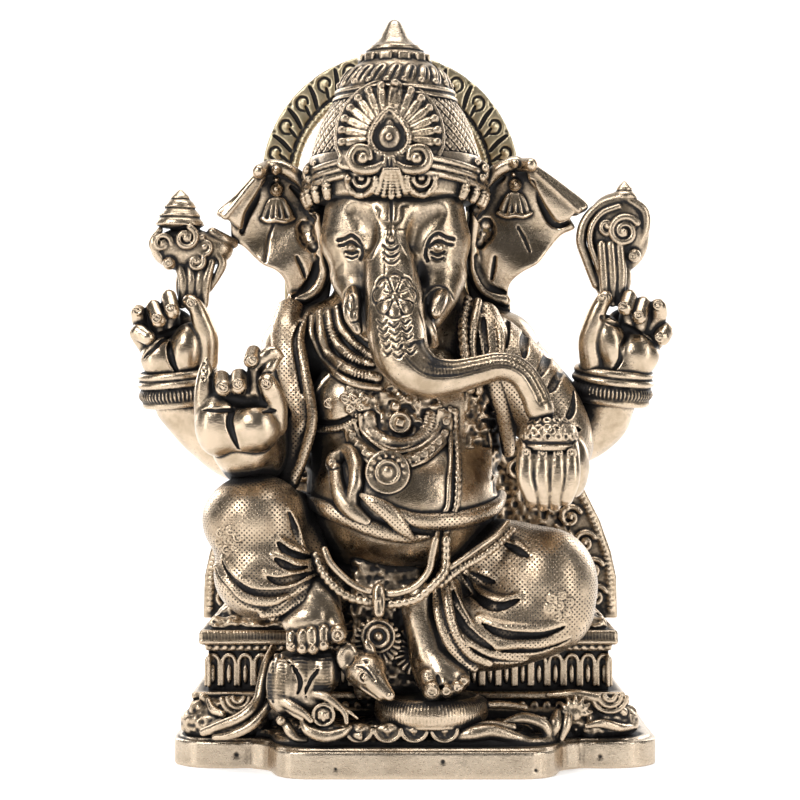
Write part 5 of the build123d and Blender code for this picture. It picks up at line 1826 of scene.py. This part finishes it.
class Nodes:
    """A short way to wire a material."""

    def __init__(self, name):
        self.material = bpy.data.materials.new(name)
        self.material.use_nodes = True
        self.tree = self.material.node_tree
        self.shader = self.tree.nodes["Principled BSDF"]

    def put(self, value, socket):
        """Links another node's output to a socket, or sets the socket to a constant."""
        if isinstance(value, bpy.types.NodeSocket):
            self.tree.links.new(value, socket)
        else:
            socket.default_value = value

    def new(self, kind, **inputs):
        node = self.tree.nodes.new(kind)
        for key, value in inputs.items():
            self.put(value, node.inputs[key.replace("_", " ")])
        return node

    def attribute(self, label):
        node = self.new("ShaderNodeAttribute")
        node.attribute_name = label
        return node.outputs["Fac"]

    def math(self, operation, a, b=0.0):
        node = self.new("ShaderNodeMath")
        node.operation = operation
        self.put(a, node.inputs[0])
        self.put(b, node.inputs[1])
        return node.outputs[0]

    def ramp(self, value, *stops):
        node = self.new("ShaderNodeValToRGB")
        self.put(value, node.inputs[0])
        elements = node.color_ramp.elements
        while len(elements) < len(stops):
            elements.new(0.5)
        for element, (at, colour) in zip(elements, stops):
            element.position = at
            element.color = (*np.broadcast_to(colour, 3), 1)
        return node.outputs[0]

    def mix(self, factor, a, b):
        """Blends from a to b, which is a constant colour."""
        node = self.new("ShaderNodeMix")
        node.data_type = "RGBA"
        self.put(factor, node.inputs[0])
        self.put(a, node.inputs[6])
        self.put((*b, 1), node.inputs[7])
        return node.outputs[2]


def punched(m, place):
    """Rows of fine round punch marks laid over the surface, whichever way it faces."""
    x, y, z = m.new("ShaderNodeSeparateXYZ", Vector=place).outputs
    facing = m.new("ShaderNodeNewGeometry").outputs["Normal"]
    sides = m.new("ShaderNodeSeparateXYZ", Vector=facing).outputs
    weights = [m.math("POWER", m.math("ABSOLUTE", side), 5.0) for side in sides]
    total = m.math("ADD", m.math("ADD", weights[0], weights[1]), weights[2])
    turn = math.pi / (PUNCH_PITCH * MM / math.sqrt(2))
    u, v, w = (m.math("COSINE", m.math("MULTIPLY", axis, turn)) for axis in (x, y, z))
    rows = [m.math("MULTIPLY", a, b) for a, b in ((v, w), (u, w), (u, v))]
    marks = [m.math("MULTIPLY", row, weight) for row, weight in zip(rows, weights)]
    marks = m.math("ADD", m.math("ADD", marks[0], marks[1]), marks[2])
    return m.math("DIVIDE", marks, total)


def brass(name, bright, mid, roughness, patina_and_shade_bias, grain, dots=False):
    """Brass polished on its high spots, with black patina left in the recesses and painted shade where
    other metal hems it in.
    """
    m = Nodes(name)
    place = m.new("ShaderNodeTexCoord").outputs["Object"]
    hollow = m.attribute("hollow")
    cloud = m.new("ShaderNodeTexNoise", Vector=place, Scale=120.0, Detail=5.0, Roughness=0.6).outputs[0]
    fine = m.new("ShaderNodeTexNoise", Vector=place, Scale=1300.0, Detail=4.0, Roughness=0.65).outputs[0]
    # patina from the grooves plus painted shade from the occlusion of nearby metal, with random speckle
    patina_and_shade_amount = m.math("ADD", hollow, m.attribute("crevice_patina_and_shade"))
    for speckle in (cloud, fine):
        patina_and_shade_amount = m.math("ADD", patina_and_shade_amount, m.math("MULTIPLY", m.math("SUBTRACT", speckle, 0.5), 0.45))
    patina_and_shade_amount = m.math("ADD", patina_and_shade_amount, patina_and_shade_bias)
    streak_place = m.new("ShaderNodeMapping", Vector=place, Scale=(1.0, 1.0, 7.0)).outputs[0]
    streak = m.new("ShaderNodeTexNoise", Vector=streak_place, Scale=700.0, Detail=3.0, Roughness=0.6)
    streak = streak.outputs[0]
    height = m.math("ADD", m.math("MULTIPLY", streak, 0.35), m.math("MULTIPLY", cloud, 2.5))
    if dots:
        marks = m.ramp(punched(m, place), (0.25, 0.0), (0.8, 1.0))
        marks = m.math("MULTIPLY", marks, m.ramp(cloud, (0.36, 0.45), (0.55, 1.0)))
        patina_and_shade_amount = m.math("ADD", patina_and_shade_amount, m.math("MULTIPLY", marks, DOT_DIRT))
        height = m.math("SUBTRACT", height, m.math("MULTIPLY", marks, 0.8))
    patina_and_shade_mask = m.ramp(patina_and_shade_amount, (0.14, 0.0), (0.32, 0.58), (0.52, 1.0))
    worn = m.math("ADD", cloud, m.math("MULTIPLY", hollow, -0.7))
    tone = m.ramp(worn, (0.36, mid), (0.62, bright))
    # near-black colour of the patina, also used as painted shade between parts
    colour = m.mix(patina_and_shade_mask, tone, (0.020, 0.018, 0.018))
    m.put(colour, m.shader.inputs["Base Color"])
    metal = m.ramp(patina_and_shade_mask, (0.5, 1.0), (1.0, 0.6))
    m.put(metal, m.shader.inputs["Metallic"])
    rough = m.math("ADD", m.math("MULTIPLY", patina_and_shade_mask, 0.3), m.math("MULTIPLY", fine, 0.16))
    rough = m.math("ADD", rough, roughness - 0.08)
    m.put(rough, m.shader.inputs["Roughness"])
    bump = m.new("ShaderNodeBump", Strength=grain, Distance=0.0005, Height=height)
    m.put(bump.outputs[0], m.shader.inputs["Normal"])
    return m.material


def make_finishes():
    """Each finish's material, and the colour slot it stands for."""
    # the fifth number shifts the patina and painted shade darker or lighter
    polished = brass("polished_brass", (0.60, 0.475, 0.345), (0.38, 0.29, 0.195), 0.24, 0.02, 0.3)
    chased = brass("chased_brass", (0.57, 0.45, 0.325), (0.34, 0.26, 0.175), 0.28, 0.12, 0.35)
    cloth = brass("cloth_brass", (0.60, 0.47, 0.335), (0.38, 0.29, 0.20), 0.28, -0.02, 0.35, dots=True)
    base = brass("base_brass", (0.58, 0.475, 0.36), (0.48, 0.385, 0.285), 0.28, -0.05, 0.4)
    halo = brass("halo_brass", (0.60, 0.50, 0.33), (0.36, 0.30, 0.18), 0.32, 0.12, 0.4)
    return {
        "polished": (polished, "polished_brass"),
        "chased": (chased, "chased_brass"),
        "cloth": (cloth, "chased_brass"),
        "base": (base, "base_brass"),
        "halo": (halo, "halo_brass"),
    }


# ---- recesses: patina in grooves and painted shade between parts --------------------------------
def blur(field, reach):
    """A running mean along each axis in turn, twice."""
    for _ in range(2):
        for axis in range(3):
            total = field.copy()
            for k in range(1, reach + 1):
                for sign in (-1, 1):
                    total += np.roll(field, sign * k, axis)
            field = total / (2 * reach + 1)
    return field


def sample(field, first, step, points):
    """The field's value at points, in mm, between its grid points."""
    q = points / step - first
    q = np.clip(q, 0, np.array(field.shape) - 1.001)
    i = q.astype(np.int32)
    f = (q - i).astype(np.float32)
    out = 0
    for dx in (0, 1):
        for dy in (0, 1):
            for dz in (0, 1):
                corner = np.array((dx, dy, dz))
                share = np.prod(np.where(corner, f, 1 - f), axis=1)
                out = out + share * field[tuple((i + corner).T)]
    return out


def whole_field():
    """The union of all pieces, on the shared grid."""
    low = np.min([c.first for _, c, _, _ in pieces], 0) - 2
    high = np.max([c.first + c.d.shape for _, c, _, _ in pieces], 0) + 2
    field = np.full(tuple(high - low), 1.5, np.float32)
    for _, c, _, _ in pieces:
        where = tuple(slice(a, a + n) for a, n in zip(c.first - low, c.d.shape))
        field[where] = np.minimum(field[where], c.d)
    np.clip(field, -1.5, 1.5, out=field)
    return field, low


def polygons(name, clay):
    """The piece's surface as a mesh, its corners in mm and its normals."""
    grid = vdb.FloatGrid(FAR)
    grid.copyFromArray(np.ascontiguousarray(clay.d))
    points, _, quads = grid.convertToPolygons(isovalue=0.0, adaptivity=0.0)
    place = (points + clay.first) * STEP
    mesh = bpy.data.meshes.new(name)
    mesh.vertices.add(len(place))
    mesh.vertices.foreach_set("co", (place * MM).astype(np.float32).ravel())
    mesh.loops.add(quads.size)
    mesh.loops.foreach_set("vertex_index", quads.astype(np.int32).ravel())
    mesh.polygons.add(len(quads))
    mesh.polygons.foreach_set("loop_start", np.arange(0, quads.size, 4, dtype=np.int32))
    mesh.polygons.foreach_set("use_smooth", np.ones(len(quads), bool))
    mesh.update(calc_edges=True)
    mesh.validate()
    normals = np.zeros(len(place) * 3, np.float32)
    mesh.vertex_normals.foreach_get("vector", normals)
    return mesh, place, normals.reshape(-1, 3)


def finish_pieces():
    """Builds every piece with its finish.

    hollow is high in grooves, where patina lies; the second value, from how much other metal hems a place
    in, darkens it as painted shade as well as patina.
    """
    finishes = make_finishes()
    field, first = whole_field()
    soft = blur(field, max(1, round(0.5 / STEP)))
    every = max(1, round(1.1 / STEP))
    cell = STEP * every
    coarse = np.pad((field[::every, ::every, ::every] < 0).astype(np.float32), 10)
    origin = first / every - 10
    near, far = blur(coarse, 1), blur(coarse, 3)
    for name, clay, finish, nodes in pieces:
        mesh, place, out = polygons(name, clay)
        hollow = -sample(soft, first, STEP, place) / 0.35
        # occlusion by nearby metal: patina in crevices, and painted shade between parts
        crevice_patina_and_shade = 1.1 * sample(near, origin, cell, place + 2.4 * out)
        crevice_patina_and_shade += 0.9 * sample(far, origin, cell, place + 5.5 * out)
        for label, values in (("hollow", hollow), ("crevice_patina_and_shade", crevice_patina_and_shade)):
            layer = mesh.attributes.new(label, "FLOAT", "POINT")
            layer.data.foreach_set("value", values.astype(np.float32))
        piece = bpy.data.objects.new(name, mesh)
        bpy.context.collection.objects.link(piece)
        material, slot = finishes[finish]
        mesh.materials.append(material)
        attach(piece, "root")
        if nodes:
            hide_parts(*nodes)


# ---- studio -------------------------------------------------------------------------------------
def make_stage():
    mesh = bpy.data.meshes.new("floor")
    size, rise, bend, back = 3.0, 2.4, 0.35, 1.1
    profile = [(-size, 0.0), (back - bend, 0.0)]
    for i in range(1, 9):
        a = math.pi / 2 * i / 8
        profile.append((back - bend + bend * math.sin(a), bend - bend * math.cos(a)))
    profile.append((back, rise))
    points = [(x, y, z) for y, z in profile for x in (-size, size)]
    faces = [(2 * i, 2 * i + 1, 2 * i + 3, 2 * i + 2) for i in range(len(profile) - 1)]
    mesh.from_pydata(points, [], faces)
    floor = bpy.data.objects.new("floor", mesh)
    bpy.context.collection.objects.link(floor)
    m = Nodes("paper")
    place = m.new("ShaderNodeTexCoord").outputs["Object"]
    cloud = m.new("ShaderNodeTexNoise", Vector=place, Scale=3.0, Detail=3.0).outputs[0]
    m.put(m.ramp(cloud, (0.3, 0.93), (0.7, 0.96)), m.shader.inputs["Base Color"])
    m.shader.inputs["Roughness"].default_value = 0.9
    m.shader.inputs["Emission Color"].default_value = (1, 1, 1, 1)
    m.shader.inputs["Emission Strength"].default_value = 0.45
    mesh.materials.append(m.material)


def softbox(name, place, size, power):
    """A rectangular lamp aimed at the middle of the figure."""
    data = bpy.data.lights.new(name, "AREA")
    data.shape = "RECTANGLE"
    data.size, data.size_y = size
    data.energy = power
    light = bpy.data.objects.new(name, data)
    light.location = place
    run = Vector((0, 0, 0.11)) - Vector(place)
    light.rotation_euler = run.to_track_quat("-Z", "Y").to_euler()
    bpy.context.collection.objects.link(light)


def make_lights():
    scene = bpy.context.scene
    scene.view_settings.view_transform = "Standard"
    world = bpy.data.worlds.new("studio")
    scene.world = world
    world.use_nodes = True
    world.node_tree.nodes["Background"].inputs[0].default_value = (0.95, 0.97, 1.0, 1)
    world.node_tree.nodes["Background"].inputs[1].default_value = 0.10
    softbox("key", (-0.62, -0.75, 0.75), (0.40, 0.40), 6.0)
    softbox("fill", (0.80, -0.62, 0.35), (0.25, 0.8), 3.2)
    softbox("low_left", (-0.8, -0.45, 0.10), (0.22, 0.6), 1.6)
    softbox("top", (0.0, -0.05, 0.95), (0.7, 0.30), 4.0)
    softbox("back_left", (-0.7, 0.7, 0.5), (0.4, 0.7), 4)
    softbox("back_right", (0.7, 0.7, 0.5), (0.4, 0.7), 4)


make_camera()
make_base()
make_lotus()
make_seat_foot()
make_arcade()
make_seat_slab()
make_seat_back()
make_right_scroll()
make_left_scroll()
make_foot_cushion()
torso = make_torso()
make_right_leg()
make_right_foot()
make_left_leg()
make_left_foot()
make_sash()
make_mouse_body()
make_mouse_head()
make_head()
make_tusks()
make_right_ear()
make_left_ear()
make_headband()
make_dome()
make_plume()
make_cap()
make_collar()
make_finial()
make_halo()
make_back_arms()
make_bangles()
make_right_back_hand()
make_left_back_hand()
make_goad()
make_noose()
make_right_sleeve()
make_right_hand()
make_left_sleeve()
make_left_hand()
make_sweets()
make_right_shawl()
make_left_shawl()
make_necklace(torso)
make_pendant(torso)
make_medallion(torso)
make_thread(torso)
make_serpent(torso)
make_hood(torso)
make_belt()
finish_pieces()
make_stage()
make_lights()
